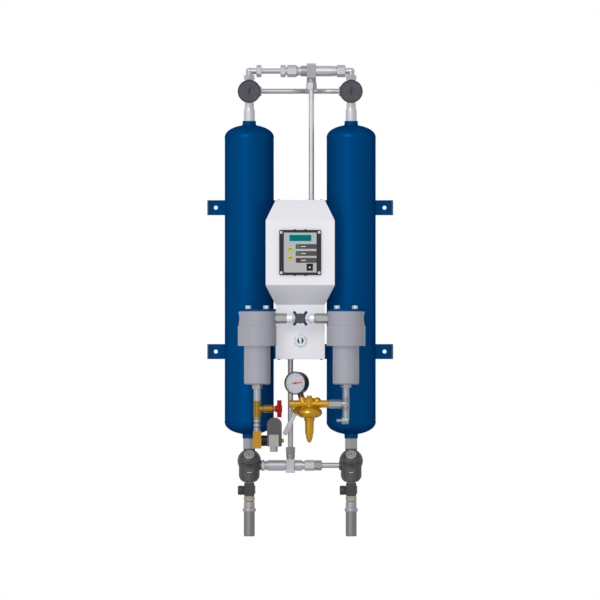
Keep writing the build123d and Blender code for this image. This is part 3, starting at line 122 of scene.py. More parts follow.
# Shader maths
class Wire:
    """A shader socket that can stand in a Python expression."""

    def __init__(self, paint, socket):
        self.paint = paint
        self.socket = socket

    def maths(self, operation, *others):
        """A Math node fed by this socket and the others."""
        return self.paint.node("Math", dict(enumerate((self, *others))), operation=operation)

    def __add__(self, other):
        return self.maths("ADD", other)

    def __radd__(self, other):
        return self + other

    def __sub__(self, other):
        return self.maths("SUBTRACT", other)

    def __rsub__(self, other):
        return -self + other

    def __mul__(self, other):
        return self.maths("MULTIPLY", other)

    def __rmul__(self, other):
        return self * other

    def __truediv__(self, other):
        return self.maths("DIVIDE", other)

    def __rtruediv__(self, other):
        return self ** -1.0 * other

    def __neg__(self):
        return self * -1.0

    def __pow__(self, other):
        return self.maths("POWER", other)

    def __gt__(self, other):
        return self.maths("GREATER_THAN", other)

    def __lt__(self, other):
        return self.maths("LESS_THAN", other)

    def __abs__(self):
        return self.maths("ABSOLUTE")


class Paint:
    """Builds the nodes of one material or of the world."""

    def __init__(self, owner):
        self.owner = owner
        owner.use_nodes = True
        self.tree = owner.node_tree
        self.tree.nodes.clear()

    def node(self, kind, inputs=None, out=0, **settings):
        """Adds a node with its settings, fills or links its sockets and returns one output."""
        made = self.tree.nodes.new("ShaderNode" + kind)
        for key, value in settings.items():
            setattr(made, key, value)
        for key, value in (inputs or {}).items():
            if isinstance(value, Wire):
                self.tree.links.new(value.socket, made.inputs[key])
            else:
                made.inputs[key].default_value = value
        return Wire(self, made.outputs[out])

    def place(self, scale=(1, 1, 1)):
        """Object coordinates, scaled along each axis."""
        return self.node("Mapping", {"Vector": self.node("TexCoord", out="Object"), "Scale": scale})

    def along(self, axis):
        """One of the three object coordinates, in metres."""
        return self.node("SeparateXYZ", {"Vector": self.node("TexCoord", out="Object")}, out=axis)

    def noise(self, scale, detail=2.0, stretch=(1, 1, 1)):
        """Noise from 0 to 1, drawn out along the axes with the smaller stretch."""
        return self.node("TexNoise", {"Vector": self.place(stretch), "Scale": scale, "Detail": detail})

    def mix(self, factor, low, high):
        """Mixes two colours."""
        return self.node("Mix", {0: factor, 6: low, 7: high}, out=2, data_type="RGBA")

    def shade(self, colour, amount, wobble):
        """A colour made darker and lighter by a wobble that runs from 0 to 1."""
        dark = [c * (1 - amount) for c in colour[:3]] + [1]
        light = [min(1, c * (1 + amount)) for c in colour[:3]] + [1]
        return self.mix(wobble, dark, light)

    def bump(self, height, strength, distance, edge):
        """A bumped normal over edges rounded by a radius in metres."""
        rounded = self.node("Bevel", {"Radius": edge}, samples=4)
        sizes = {"Height": height, "Strength": strength, "Distance": distance}
        return self.node("Bump", {**sizes, "Normal": rounded})

    def looked_at(self):
        """1 for what the camera, a reflection or a clear pane shows, 0 for what only lights."""
        camera, glossy, through = (
            self.node("LightPath", out=f"Is {ray} Ray") for ray in ("Camera", "Glossy", "Transmission")
        )
        return camera.maths("MAXIMUM", glossy).maths("MAXIMUM", through)

    def surface(self, **values):
        """Ends a material in one shader, whose sockets are named with underscores, and returns it."""
        named = {key.replace("_", " "): value for key, value in values.items()}
        self.close(self.node("BsdfPrincipled", named), "Material")
        return self.owner

    def close(self, shader, kind):
        """Ends the tree of a material or of the world in a shader."""
        end = self.tree.nodes.new("ShaderNodeOutput" + kind)
        self.tree.links.new(shader.socket, end.inputs["Surface"])


def linear(*shade):
    """A colour written in 0 to 255 display values, as linear light."""
    parts = [s / 255 for s in shade]
    return [p / 12.92 if p <= 0.04045 else ((p + 0.055) / 1.055) ** 2.4 for p in parts] + [1.0]


def new_paint(name):
    return Paint(bpy.data.materials.new(name))


# Finishes
def lacquer(name, colour, roughness, peel, specular, mottle=0.03, edge=0.0006):
    """Sprayed lacquer: faint cloudiness and orange peel."""
    paint = new_paint(name)
    cloud = paint.noise(7.0, 4.0)
    fine = paint.noise(900.0, 2.0)
    return paint.surface(
        Base_Color=paint.shade(colour, mottle, cloud), Roughness=cloud * 0.08 + (roughness - 0.04),
        Specular_IOR_Level=specular, Normal=paint.bump(fine, peel, 0.0004, edge),
    )


def metallic_enamel(name, peel=0.04, worn_lips=False):
    """Blue enamel whose gloss takes its own colour, worn grey at the rails' lips where asked."""
    paint = new_paint(name)
    cloud = paint.noise(6.0, 4.0)
    fine = paint.noise(900.0, 2.0)
    shade = paint.shade(linear(0, 62, 113), 0.03, cloud)
    if worn_lips:
        lip = (abs(paint.along(0)) > RAIL_LIP_X) * (paint.along(1) < RAIL_LIP_Y)
        shade = paint.mix(lip, shade, linear(62, 72, 82))
    return paint.surface(
        Base_Color=shade, Metallic=0.28, Roughness=cloud * 0.06 + 0.35, Specular_IOR_Level=0.0,
        Specular_Tint=linear(70, 110, 150), Normal=paint.bump(fine, peel, 0.0004, 0.0006),
    )


def moulding(name, colour, roughness=0.5, grain=0.12, edge=0.0005, specular=0.4):
    """Moulded plastic with a fine spark-eroded grain."""
    paint = new_paint(name)
    grit = paint.noise(2200.0, 3.0)
    cloud = paint.noise(25.0, 3.0)
    return paint.surface(
        Base_Color=paint.shade(colour, 0.06, cloud), Roughness=grit * 0.15 + (roughness - 0.07),
        Specular_IOR_Level=specular, Normal=paint.bump(grit, grain, 0.0003, edge),
    )


def metal(name, colour, roughness, metallic, stretch=(60, 60, 900), strength=0.05):
    """Turned, drawn or brushed metal: streaks that run across the largest stretch."""
    paint = new_paint(name)
    streak = paint.noise(1.0, 3.0, stretch)
    cloud = paint.noise(30.0, 4.0)
    return paint.surface(
        Base_Color=paint.shade(colour, 0.05, streak * 0.6 + cloud * 0.4), Metallic=metallic,
        Roughness=cloud * 0.1 + streak * 0.1 + (roughness - 0.1),
        Normal=paint.bump(streak, strength, 0.0003, 0.0004),
    )


def two_metal(name, border, beyond, before, roughness=0.35, metallic=0.5, sideways=False):
    """Metal of two colours that meet at a height in metres, or at that distance from the middle."""
    paint = new_paint(name)
    place = abs(paint.along(0)) if sideways else paint.along(2)
    streak = paint.noise(1.0, 3.0, (80, 80, 1200))
    cloud = paint.noise(40.0, 4.0)
    wobble = streak * 0.6 + cloud * 0.4
    shade = paint.mix(place > border, paint.shade(before, 0.07, wobble), paint.shade(beyond, 0.05, wobble))
    return paint.surface(
        Base_Color=shade, Metallic=metallic, Roughness=cloud * 0.12 + (roughness - 0.06),
        Normal=paint.bump(streak, 0.05, 0.0003, 0.0006),
    )


blue_enamel = metallic_enamel("vessel_blue_enamel")
rail_blue = metallic_enamel("rail_blue_enamel", worn_lips=True)
weld_blue = metallic_enamel("weld_blue_enamel", peel=0.06)
white_coat = lacquer("cabinet_white_powder_coat", linear(221, 221, 226), 0.5, 0.12, 0.2, mottle=0.012)
filter_lacquer = lacquer("filter_grey_lacquer", linear(152, 152, 162), 0.38, 0.06, 0.2, mottle=0.02)
panel_lacquer = lacquer("panel_grey_lacquer", linear(172, 172, 175), 0.45, 0.05, 0.15, mottle=0.015)
black_case = moulding("controller_black_moulding", linear(42, 42, 46), 0.5, specular=0.12)
valve_nylon = moulding("valve_black_nylon", linear(64, 64, 66), 0.46, 0.2, 0.0008, 0.3)
yellow_key = moulding("key_yellow", linear(190, 198, 50), 0.4, 0.03, 0.0003, 0.15)
olive_mark = moulding("key_mark_olive", linear(126, 136, 10), 0.5, 0.02, 0.0001, 0.1)
white_mark = moulding("mark_white", linear(225, 226, 224), 0.5, 0.02, 0.0001)
strip_dark = moulding("strip_dark_grey", linear(74, 74, 77), 0.5, 0.06, 0.0001, 0.1)
switch_black = moulding("rocker_black_gloss", linear(22, 22, 24), 0.22, 0.02, 0.0004, 0.2)
board_green = moulding("board_green_laminate", linear(30, 90, 55), 0.4, 0.05, 0.0002)
dot_yellow_green = moulding("plug_dot_yellow_green", linear(168, 176, 30), 0.4, 0.03, 0.0001, 0.2)
poppet_white = moulding("poppet_white_acetal", linear(232, 232, 228), 0.35, 0.03)
nickel = metal("fitting_nickel", linear(170, 170, 175), 0.4, 0.55)
dull_nickel = metal("dull_nickel", linear(138, 138, 142), 0.42, 0.55)
valve_nickel = metal("valve_nickel", linear(196, 196, 198), 0.38, 0.4)
valve_chrome = metal("bypass_valve_chrome", linear(226, 226, 230), 0.36, 0.25)
tube_upright = metal("tube_drawn_upright", linear(196, 196, 198), 0.3, 0.6, (800, 800, 6), 0.04)
tube_low = metal("tube_drawn_low", linear(164, 164, 166), 0.36, 0.55, (800, 800, 6), 0.04)
tube_level = metal("tube_drawn_level", linear(160, 160, 163), 0.42, 0.55, (6, 800, 800), 0.04)
pipe_nickel = metal("drain_pipe_grey", linear(136, 142, 148), 0.36, 0.55)
pointer_red = lacquer("pointer_red", linear(196, 34, 40), 0.4, 0.02, 0.2, edge=0.0001)
pointer_black = lacquer("pointer_black", linear(26, 26, 30), 0.4, 0.02, 0.1, edge=0.0001)
high_print_grey = lacquer("high_dial_print", linear(112, 111, 121), 0.5, 0.02, 0.1, edge=0.0001)
low_print_grey = lacquer("low_dial_print", linear(112, 112, 118), 0.5, 0.02, 0.1, edge=0.0001)
gauge_black = lacquer("gauge_black_lacquer", linear(42, 42, 46), 0.35, 0.08, 0.3, mottle=0.05)
silver_disc = metal("bonnet_silver_disc", linear(178, 180, 182), 0.32, 0.6)
thread_grey = metal("thread_dark_grey", linear(104, 106, 110), 0.4, 0.6)
bleed_silver = metal("bleed_tube_silver", linear(212, 213, 216), 0.34, 0.4)
pale_grey = moulding("gasket_pale_grey", linear(176, 176, 176), 0.5, 0.05, 0.0001)
gasket_grey = moulding("gasket_grey", linear(122, 122, 124), 0.5, 0.05, 0.0001, 0.1)
# Mid grey for the valve discs' raised spokes, and painted shade in the discs' groove and central socket.
groove_shade_and_spoke_grey = moulding("disc_groove_grey", linear(112, 113, 116), 0.5, 0.03, 0.0001, 0.1)
# Dark grey for the bonnet screws, and painted shade for the slots and sockets of the other screws.
socket_dark = moulding("socket_dark", linear(48, 48, 50), 0.5, 0.05, 0.0001, 0.1)
mesh_steel = metal("bed_screen_steel", linear(170, 172, 175), 0.45, 0.6)
media = moulding("filter_media", linear(225, 225, 220), 0.8, 0.3)

DRAIN_GREY = linear(148, 151, 155)
DRAIN_BRASS = linear(158, 114, 4)
TEE_BRASS = linear(132, 97, 2)
drain_tee_metal = two_metal("drain_tee_grey_and_brass", TEE_BORDER, DRAIN_GREY, TEE_BRASS)
drain_valve_metal = two_metal("drain_valve_grey_and_brass", DRAIN_BORDER, DRAIN_GREY, DRAIN_BRASS)
zinc = two_metal(
    "screw_zinc", BOLT_BORDER, linear(200, 208, 217), linear(140, 122, 102), metallic=0.4,
)
nipple_metal = two_metal(
    "vessel_nipple_metal", MIDDLE, linear(190, 191, 193), linear(143, 144, 147), 0.46, 0.3,
)
manifold_metal = two_metal(
    "manifold_nickel", MANIFOLD_BORDER, linear(132, 132, 135), linear(163, 163, 168), 0.4, 0.55,
)
port_metal = two_metal(
    "port_fitting_metal", PORT_NIPPLE_X, linear(148, 149, 151), linear(222, 222, 226), 0.42, 0.4,
    sideways=True,
)
nut_metal = two_metal(
    "tube_nut_metal", NUT_BORDER, linear(170, 170, 175), linear(130, 130, 134), 0.4, 0.55,
)


def coil_finish():
    """Coil resin: the armature flange at the drain coil's left end painted near-black as shade, yellow-green
    nut at its right.
    """
    paint = new_paint("coil_grey_resin")
    grit = paint.noise(1500.0, 3.0)
    high = paint.along(2) > COIL_BORDER
    armature_shade = high * (paint.along(0) < DRAIN_COIL_LEFT)
    right_end = high * (paint.along(0) > DRAIN_COIL_RIGHT)
    resin = paint.shade(linear(77, 75, 76), 0.08, paint.noise(30.0, 3.0))
    # Painted shade: the armature flange between the brass block and the coil is coloured near-black.
    shade = paint.mix(right_end, paint.mix(armature_shade, resin, linear(14, 9, 4)), linear(140, 146, 30))
    return paint.surface(
        Base_Color=shade, Roughness=grit * 0.15 + 0.43, Specular_IOR_Level=0.2,
        Normal=paint.bump(grit, 0.15, 0.0003, 0.001),
    )


def plug_finish():
    """Plug mouldings: light grey on the drain coil, black under the bottom valves."""
    paint = new_paint("plug_moulding")
    grit = paint.noise(1600.0, 3.0)
    shade = paint.mix(paint.along(2) > COIL_BORDER, linear(50, 50, 51), linear(149, 149, 148))
    return paint.surface(
        Base_Color=shade, Roughness=grit * 0.15 + 0.42, Specular_IOR_Level=0.25,
        Normal=paint.bump(grit, 0.15, 0.0003, 0.0008),
    )


def bypass_grip_finish():
    """Blue handle with a dark grey cap on its front."""
    paint = new_paint("bypass_grip_blue")
    grit = paint.noise(1500.0, 3.0)
    shade = paint.mix(paint.along(1) < HANDLE_CAP_Y, linear(2, 50, 102), linear(67, 71, 74))
    return paint.surface(
        Base_Color=shade, Roughness=grit * 0.1 + 0.34, Specular_IOR_Level=0.2,
        Normal=paint.bump(grit, 0.06, 0.0003, 0.0008),
    )


def lever_grip_finish():
    """Red lever whose spindle, left of its hub, is brass."""
    paint = new_paint("lever_red_grip")
    grit = paint.noise(2200.0, 3.0)
    red = paint.shade(linear(140, 6, 8), 0.06, paint.noise(25.0, 3.0))
    shade = paint.mix(paint.along(0) < LEVER_HUB_X, red, linear(158, 104, 40))
    return paint.surface(
        Base_Color=shade, Roughness=grit * 0.15 + 0.25, Specular_IOR_Level=0.12,
        Normal=paint.bump(grit, 0.05, 0.0003, 0.0008),
    )


def brass_finish():
    """Machined brass with lathe streaks and a slightly darker tarnish."""
    paint = new_paint("regulator_brass")
    brass = linear(178, 132, 6)
    streak = paint.noise(1.0, 3.0, (80, 80, 1200))
    tarnish = paint.noise(45.0, 5.0)
    dull = [c * 0.8 for c in brass[:3]] + [1]
    return paint.surface(
        Base_Color=paint.mix(tarnish * 0.5, paint.shade(brass, 0.06, streak), dull), Metallic=0.55,
        Roughness=tarnish * 0.15 + 0.21, Normal=paint.bump(streak, 0.05, 0.0003, 0.0006),
    )


def display_finish():
    """A teal liquid crystal behind a clear sheet, with its faint cell grid."""
    paint = new_paint("display_teal")
    column = (paint.along(0) / CELL_WIDTH).maths("FRACT")
    row = (paint.along(2) / CELL_HEIGHT).maths("FRACT")
    line = (column < CELL_LINE).maths("MAXIMUM", row < CELL_LINE)
    shade = paint.mix(line * 0.35, linear(0, 104, 108), linear(0, 88, 92))
    return paint.surface(
        Base_Color=shade, Roughness=0.18, Coat_Weight=0.04, Specular_IOR_Level=0.02,
        Emission_Color=shade, Emission_Strength=0.05,
    )


def lamp_finish():
    """Three square lamps: the lowest one is red, the others green, with a prismatic back."""
    paint = new_paint("status_lamp")
    prism = paint.node("TexVoronoi", {"Vector": paint.place(), "Scale": 1400.0}, out="Distance")
    green = paint.shade(linear(58, 112, 60), 0.25, prism)
    red = paint.shade(linear(104, 26, 34), 0.25, prism)
    shade = paint.mix(paint.along(2) < RED_LAMP_BORDER, green, red)
    return paint.surface(
        Base_Color=shade, Roughness=0.25, Specular_IOR_Level=0.15,
        Emission_Color=shade, Emission_Strength=0.05,
    )


def dial_finish():
    """Printed dial plates: the two high ones are dark, the low one is pale."""
    paint = new_paint("gauge_dial_plate")
    cloud = paint.noise(40.0, 3.0)
    dark = paint.shade(linear(68, 67, 76), 0.03, cloud)
    pale = paint.shade(linear(186, 186, 196), 0.02, cloud)
    return paint.surface(
        Base_Color=paint.mix(paint.along(2) > MIDDLE, pale, dark), Roughness=0.5, Specular_IOR_Level=0.1,
        Normal=paint.bump(paint.noise(1800.0), 0.03, 0.0002, 0.0002),
    )


def lens_finish():
    """Thin clear sheet over a dial, seen through."""
    paint = new_paint("gauge_clear_lens")
    smear = paint.noise(30.0, 4.0)
    return paint.surface(
        Base_Color=linear(150, 154, 158), Roughness=smear * 0.04 + 0.03, Alpha=smear * 0.02 + 0.03,
        Specular_IOR_Level=0.3,
    )


def silencer_finish():
    """Silencers: a hex that is brass at its sides, a neck of lighter metal mottled with painted glints, and a
    grey sintered barrel.
    """
    paint = new_paint("silencer_grey")
    height = paint.along(2)
    across = abs(abs(paint.along(0)) - VESSEL_X * MM)
    sintered = height < SINTERED_TOP
    neck = (height > SINTERED_TOP) * (height < SILENCER_HEX_TOP)
    side = (height > SILENCER_HEX_BOTTOM) * (height < SILENCER_HEX_TOP) * (across > SILENCER_HEX_SIDE)
    pores = paint.node("TexVoronoi", {"Vector": paint.place(), "Scale": 1500.0}, out="Distance")
    grey = paint.shade(linear(110, 110, 112), 0.08, paint.noise(1.0, 2.0, (900, 900, 12)))
    # Lighter metal for the neck and the hex's front and back, mottled strongly by noise: painted glints of
    # the threads.
    bright = paint.shade(linear(146, 144, 147), 0.3, paint.noise(330.0, 3.0))
    shade = paint.mix(side, paint.mix(neck, grey, bright), linear(164, 146, 80))
    return paint.surface(
        Base_Color=shade, Metallic=0.5, Roughness=pores * 0.2 + 0.34,
        Normal=paint.bump(pores * sintered, 0.25, 0.0003, 0.0005),
    )


def bead_finish():
    """Desiccant beads packed side by side, each painted darker towards its rim as shade between the beads."""
    paint = new_paint("desiccant_beads")
    cell = paint.node("TexVoronoi", {"Vector": paint.place(), "Scale": 260.0}, out="Distance")
    # Painted shade: each bead's colour darkens towards its rim.
    return paint.surface(
        Base_Color=paint.shade(linear(232, 228, 218), 0.12, 1 - cell), Roughness=0.7,
        Normal=paint.bump(1 - cell, 0.6, 0.001, 0.0002),
    )


def indicator_finish():
    """The moisture indicator's blue paper under its lens, with a painted highlight: a pale stripe down the
    middle.
    """
    paint = new_paint("moisture_indicator_blue")
    # Painted highlight: a pale stripe down the middle of the window stands in for the lens's reflection.
    pale = abs(paint.along(0) - WINDOW_X) < WINDOW_HIGHLIGHT_HALF_WIDTH
    return paint.surface(
        Base_Color=paint.mix(pale, linear(32, 70, 98), linear(205, 232, 238)), Roughness=0.12,
        Coat_Weight=0.6, Specular_IOR_Level=0.5,
        Normal=paint.bump(paint.noise(300.0), 0.02, 0.0002, 0.0003),
    )


def rim_finish():
    """The pale frame round the display."""
    paint = new_paint("display_rim_pale_teal")
    return paint.surface(
        Base_Color=paint.shade(linear(120, 190, 186), 0.04, paint.noise(60.0)), Roughness=0.4,
        Normal=paint.bump(paint.noise(1500.0), 0.03, 0.0002, 0.0001),
    )


red_grip = lever_grip_finish()
coil_resin = coil_finish()
plug_resin = plug_finish()
blue_grip = bypass_grip_finish()
bright_brass = brass_finish()
display_rim = rim_finish()
display_teal = display_finish()
status_lamp = lamp_finish()
dial_plate = dial_finish()
clear_lens = lens_finish()
silencer = silencer_finish()
beads = bead_finish()
indicator_blue = indicator_finish()

FINISHES = {
    blue_enamel: "left_vessel right_vessel",
    rail_blue: "upper_rail lower_rail",
    white_coat: "cabinet_box cabinet_cover",
    black_case: "controller_case",
    panel_lacquer: "controller_panel",
    display_teal: "display_window",
    status_lamp: "status_lights",
    yellow_key: "up_key down_key",
    switch_black: "rocker_switch",
    board_green: "circuit_board",
    zinc: "panel_screws filter_bolts",
    nickel: "top_elbows check_valves",
    nut_metal: "tube_nuts",
    manifold_metal: "bottom_manifold",
    dull_nickel: "outlet_tee",
    port_metal: "port_fittings",
    valve_nickel: "moisture_indicator",
    valve_chrome: "bypass_valve",
    nipple_metal: "vessel_nipples gauge_tees",
    pipe_nickel: "drain_pipe",
    bleed_silver: "bleed_tube",
    indicator_blue: "moisture_window",
    filter_lacquer: "left_filter_head right_filter_head left_filter_bowl right_filter_bowl",
    media: "filter_elements",
    beads: "desiccant_beds",
    mesh_steel: "bed_screens",
    poppet_white: "left_check_poppet right_check_poppet left_valve_plunger right_valve_plunger",
    tube_level: "cross_tubes",
    tube_upright: "outlet_riser",
    tube_low: "inlet_riser",
    gauge_black: "gauge_cases",
    dial_plate: "gauge_dials",
    clear_lens: "gauge_lenses",
    pointer_black: "left_gauge_pointer right_gauge_pointer",
    pointer_red: "regulator_gauge_pointer",
    drain_tee_metal: "drain_tee",
    drain_valve_metal: "drain_valve",
    red_grip: "drain_handle",
    blue_grip: "bypass_handle",
    bright_brass: "regulator_body regulator_bonnet regulator_screw",
    valve_nylon: "valve_bodies",
    coil_resin: "solenoid_coils",
    plug_resin: "coil_plugs",
    silencer: "mufflers",
}
for finish, names in FINISHES.items():
    for name in names.split():
        for slot in nodes[name].material_slots:
            slot.material = finish

# Camera and light
PICTURE_WIDTH = 1.3968
PICTURE_X, PICTURE_Z = -0.0005, -0.0474
CAMERA_AWAY = 3.0
SUN_DIRECTION = Vector((0.35, 1.0, -0.47))
SUN_SOFTNESS = math.radians(25)
AMBIENT = 0.42

camera = bpy.data.objects.new("camera", bpy.data.cameras.new("camera"))
bpy.context.scene.collection.objects.link(camera)
bpy.context.scene.camera = camera
camera.data.type = "ORTHO"
camera.data.ortho_scale = PICTURE_WIDTH
camera.location = (PICTURE_X, -CAMERA_AWAY, PICTURE_Z)
camera.rotation_euler = (math.radians(90), 0, 0)

for label, energy, shadow in (("key_light", 0.6, True), ("fill_light", 1.65, False)):
    sun = bpy.data.objects.new(label, bpy.data.lights.new(label, "SUN"))
    bpy.context.scene.collection.objects.link(sun)
    sun.data.energy = energy
    sun.data.angle = SUN_SOFTNESS
    sun.data.use_shadow = shadow
    sun.rotation_euler = SUN_DIRECTION.to_track_quat("-Z", "Y").to_euler()

world = bpy.data.worlds.new("studio")
bpy.context.scene.world = world
sky = Paint(world)
strength = sky.looked_at() * (1 - AMBIENT) + AMBIENT
glow = sky.node("Background", {"Color": (1, 1, 1, 1), "Strength": strength})
sky.close(glow, "World")

bpy.context.scene.view_settings.view_transform = "Standard"


# Mesh makers, whose frames take millimetres to metres
SCALE = Matrix.Scale(MM, 4)
TOUCH = 1e-7
SHARP_EDGE = math.radians(32)
CORNER_STEPS = 5


def moved_to(point):
    """A move in metres to a point in millimetres."""
    return Matrix.Translation(Vector(point) * MM)


def frame_at(origin, out, up):
    """A matrix whose z looks along out and whose y is near up, at an origin in millimetres."""
    z = Vector(out).normalized()
    x = Vector(up).cross(z).normalized()
    y = z.cross(x)
    turn = Matrix((x, y, z)).transposed().to_4x4()
    return moved_to(origin) @ turn @ SCALE


def to_front(x, y, z):
    """A frame at a point with z towards the viewer, x right and y up."""
    return frame_at((x, y, z), (0, -1, 0), (0, 0, 1))


def upright(x, y, z, facing=1):
    """A frame at a point with z up, or down where facing is -1."""
    return frame_at((x, y, z), (0, 0, facing), (0, 1, 0))


def piece(name, mesh, finish, body=ROOT, smooth=True):
    """Makes a mesh a piece that rides on a body, with the finish as its one material."""
    bmesh.ops.remove_doubles(mesh, verts=mesh.verts, dist=TOUCH)
    bmesh.ops.recalc_face_normals(mesh, faces=mesh.faces)
    made = bpy.data.meshes.new(name)
    mesh.to_mesh(made)
    mesh.free()
    made.materials.append(finish)
    if smooth:
        made.shade_smooth()
        edges = bmesh.new()
        edges.from_mesh(made)
        for edge in edges.edges:
            edge.smooth = edge.is_boundary or edge.calc_face_angle(0.0) < SHARP_EDGE
        edges.to_mesh(made)
        edges.free()
    obj = bpy.data.objects.new(name, made)
    bpy.context.scene.collection.objects.link(obj)
    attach(obj, body)


def circle(mesh, matrix, distance, radius, steps):
    """A round of vertices about the frame's z, or one vertex where the radius is nothing."""
    if radius == 0:
        return [mesh.verts.new(matrix @ Vector((0, 0, distance)))]
    angles = [2 * math.pi * i / steps for i in range(steps)]
    spots = [Vector((radius * math.cos(a), radius * math.sin(a), distance)) for a in angles]
    return [mesh.verts.new(matrix @ spot) for spot in spots]


def skin(mesh, low, high):
    """Faces between two rounds of vertices, of which the upper one may be a single vertex."""
    for i in range(len(low)):
        j = (i + 1) % len(low)
        if len(high) == 1:
            mesh.faces.new((low[i], low[j], high[0]))
        else:
            mesh.faces.new((low[i], low[j], high[j], high[i]))


def lathe(mesh, matrix, stations, steps):
    """Turns stations of (distance, radius) about the frame's z into a form closed at both ends."""
    rings = [circle(mesh, matrix, distance, radius, steps) for distance, radius in stations]
    for low, high in zip(rings, rings[1:]):
        skin(mesh, low, high)
    for ring in (rings[0], rings[-1]):
        if len(ring) > 1:
            mesh.faces.new(ring)


def hoop(mesh, matrix, stations, steps):
    """Turns a closed loop of (distance, radius) about the frame's z into a ring."""
    rings = [circle(mesh, matrix, distance, radius, steps) for distance, radius in stations]
    for low, high in zip(rings, rings[1:] + rings[:1]):
        skin(mesh, low, high)


def plate(mesh, matrix, outline, low, high, rim=0.0):
    """Extrudes an outline from low to high, with its upper rim drawn in."""
    points = [Vector(p) for p in outline]
    middle = sum(points, Vector((0, 0))) / len(points)
    layers = [(low, 0.0), (high - rim, 0.0)]
    if rim:
        layers.append((high, rim))
    rings = []
    for height, draw in layers:
        drawn = [p + (middle - p).normalized() * draw for p in points]
        rings.append([mesh.verts.new(matrix @ Vector((*p, height))) for p in drawn])
    for below, above in zip(rings, rings[1:]):
        skin(mesh, below, above)
    mesh.faces.new(rings[0])
    mesh.faces.new(rings[-1])


def box_outline(width, height, corner=0.0):
    """A rectangle about the origin, with rounded corners where asked."""
    x, y = width / 2 - corner, height / 2 - corner
    if corner == 0:
        return [(-x, -y), (x, -y), (x, y), (-x, y)]
    points = []
    for quarter, (sx, sy) in enumerate(((1, 1), (-1, 1), (-1, -1), (1, -1))):
        for i in range(CORNER_STEPS + 1):
            angle = math.radians(90 * quarter + 90 * i / CORNER_STEPS)
            points.append((sx * x + corner * math.cos(angle), sy * y + corner * math.sin(angle)))
    return points


# Repeats, made by geometry nodes
class Tree:
    """A geometry node tree with named inputs."""

    def __init__(self, name, **kinds):
        self.group = bpy.data.node_groups.new(name, "GeometryNodeTree")
        self.ids = {}
        for key, kind in kinds.items():
            socket = self.group.interface.new_socket(key, in_out="INPUT", socket_type="NodeSocket" + kind)
            self.ids[key] = socket.identifier
        self.group.interface.new_socket("Geometry", in_out="OUTPUT", socket_type="NodeSocketGeometry")
        self.inputs = self.group.nodes.new("NodeGroupInput")

    def node(self, kind, inputs=None, **settings):
        """Adds a node with its settings and fills or links its sockets."""
        made = self.group.nodes.new(kind)
        for key, value in settings.items():
            setattr(made, key, value)
        for key, value in (inputs or {}).items():
            if isinstance(value, bpy.types.NodeSocket):
                self.group.links.new(value, made.inputs[key])
            else:
                made.inputs[key].default_value = value
        return made

    def close(self, geometry, material):
        """Ends the tree in real geometry of one material."""
        real = self.node("GeometryNodeRealizeInstances", {"Geometry": geometry})
        painted = self.node("GeometryNodeSetMaterial", {"Geometry": real.outputs[0], "Material": material})
        end = self.group.nodes.new("NodeGroupOutput")
        self.group.links.new(painted.outputs[0], end.inputs[0])

    def grow(self, **values):
        """Runs the tree with its inputs set and returns a plain mesh."""
        empty = bpy.data.objects.new("seed", bpy.data.meshes.new("seed"))
        bpy.context.scene.collection.objects.link(empty)
        modifier = empty.modifiers.new("grow", "NODES")
        modifier.node_group = self.group
        for key, value in values.items():
            modifier[self.ids[key]] = value
        depsgraph = bpy.context.evaluated_depsgraph_get()
        mesh = bpy.data.meshes.new_from_object(empty.evaluated_get(depsgraph))
        bpy.data.objects.remove(empty)
        return mesh


def ring_tree():
    """Copies of an element set round a circle, turned to follow it."""
    tree = Tree(
        "around_a_circle", Count="Int", Radius="Float", Start="Float", Sweep="Float", Element="Object",
        Finish="Material",
    )
    given = tree.inputs.outputs
    points = tree.node("GeometryNodePoints", {"Count": given["Count"]})
    index = tree.node("GeometryNodeInputIndex")
    share = tree.node("ShaderNodeMath", {0: index.outputs[0], 1: given["Count"]}, operation="DIVIDE")
    turn = tree.node("ShaderNodeMath", {0: share.outputs[0], 1: given["Sweep"]}, operation="MULTIPLY")
    angle = tree.node("ShaderNodeMath", {0: turn.outputs[0], 1: given["Start"]}, operation="ADD")
    east = tree.node("ShaderNodeMath", {0: angle.outputs[0]}, operation="COSINE")
    north = tree.node("ShaderNodeMath", {0: angle.outputs[0]}, operation="SINE")
    x = tree.node("ShaderNodeMath", {0: east.outputs[0], 1: given["Radius"]}, operation="MULTIPLY")
    y = tree.node("ShaderNodeMath", {0: north.outputs[0], 1: given["Radius"]}, operation="MULTIPLY")
    spot = tree.node("ShaderNodeCombineXYZ", {0: x.outputs[0], 1: y.outputs[0]})
    spin = tree.node("ShaderNodeCombineXYZ", {2: angle.outputs[0]})
    moved = tree.node("GeometryNodeSetPosition", {"Geometry": points.outputs[0], "Position": spot.outputs[0]})
    element = tree.node("GeometryNodeObjectInfo", {"Object": given["Element"]})
    copies = tree.node(
        "GeometryNodeInstanceOnPoints",
        {"Points": moved.outputs[0], "Instance": element.outputs["Geometry"], "Rotation": spin.outputs[0]},
    )
    tree.close(copies.outputs[0], given["Finish"])
    return tree


def thread_tree():
    """A thread: one ridge wound along the z axis."""
    tree = Tree("thread", Turns="Float", Radius="Float", Pitch="Float", Ridge="Float", Finish="Material")
    given = tree.inputs.outputs
    steps = tree.node("ShaderNodeMath", {0: given["Turns"], 1: given["Pitch"]}, operation="MULTIPLY")
    spiral = tree.node(
        "GeometryNodeCurveSpiral",
        {"Resolution": 40, "Rotations": given["Turns"], "Start Radius": given["Radius"],
         "End Radius": given["Radius"], "Height": steps.outputs[0]},
    )
    section = tree.node("GeometryNodeCurvePrimitiveCircle", {"Resolution": 4, "Radius": given["Ridge"]})
    swept = tree.node(
        "GeometryNodeCurveToMesh",
        {"Curve": spiral.outputs[0], "Profile Curve": section.outputs[0], "Fill Caps": True},
    )
    tree.close(swept.outputs[0], given["Finish"])
    return tree


around = ring_tree()
thread = thread_tree()


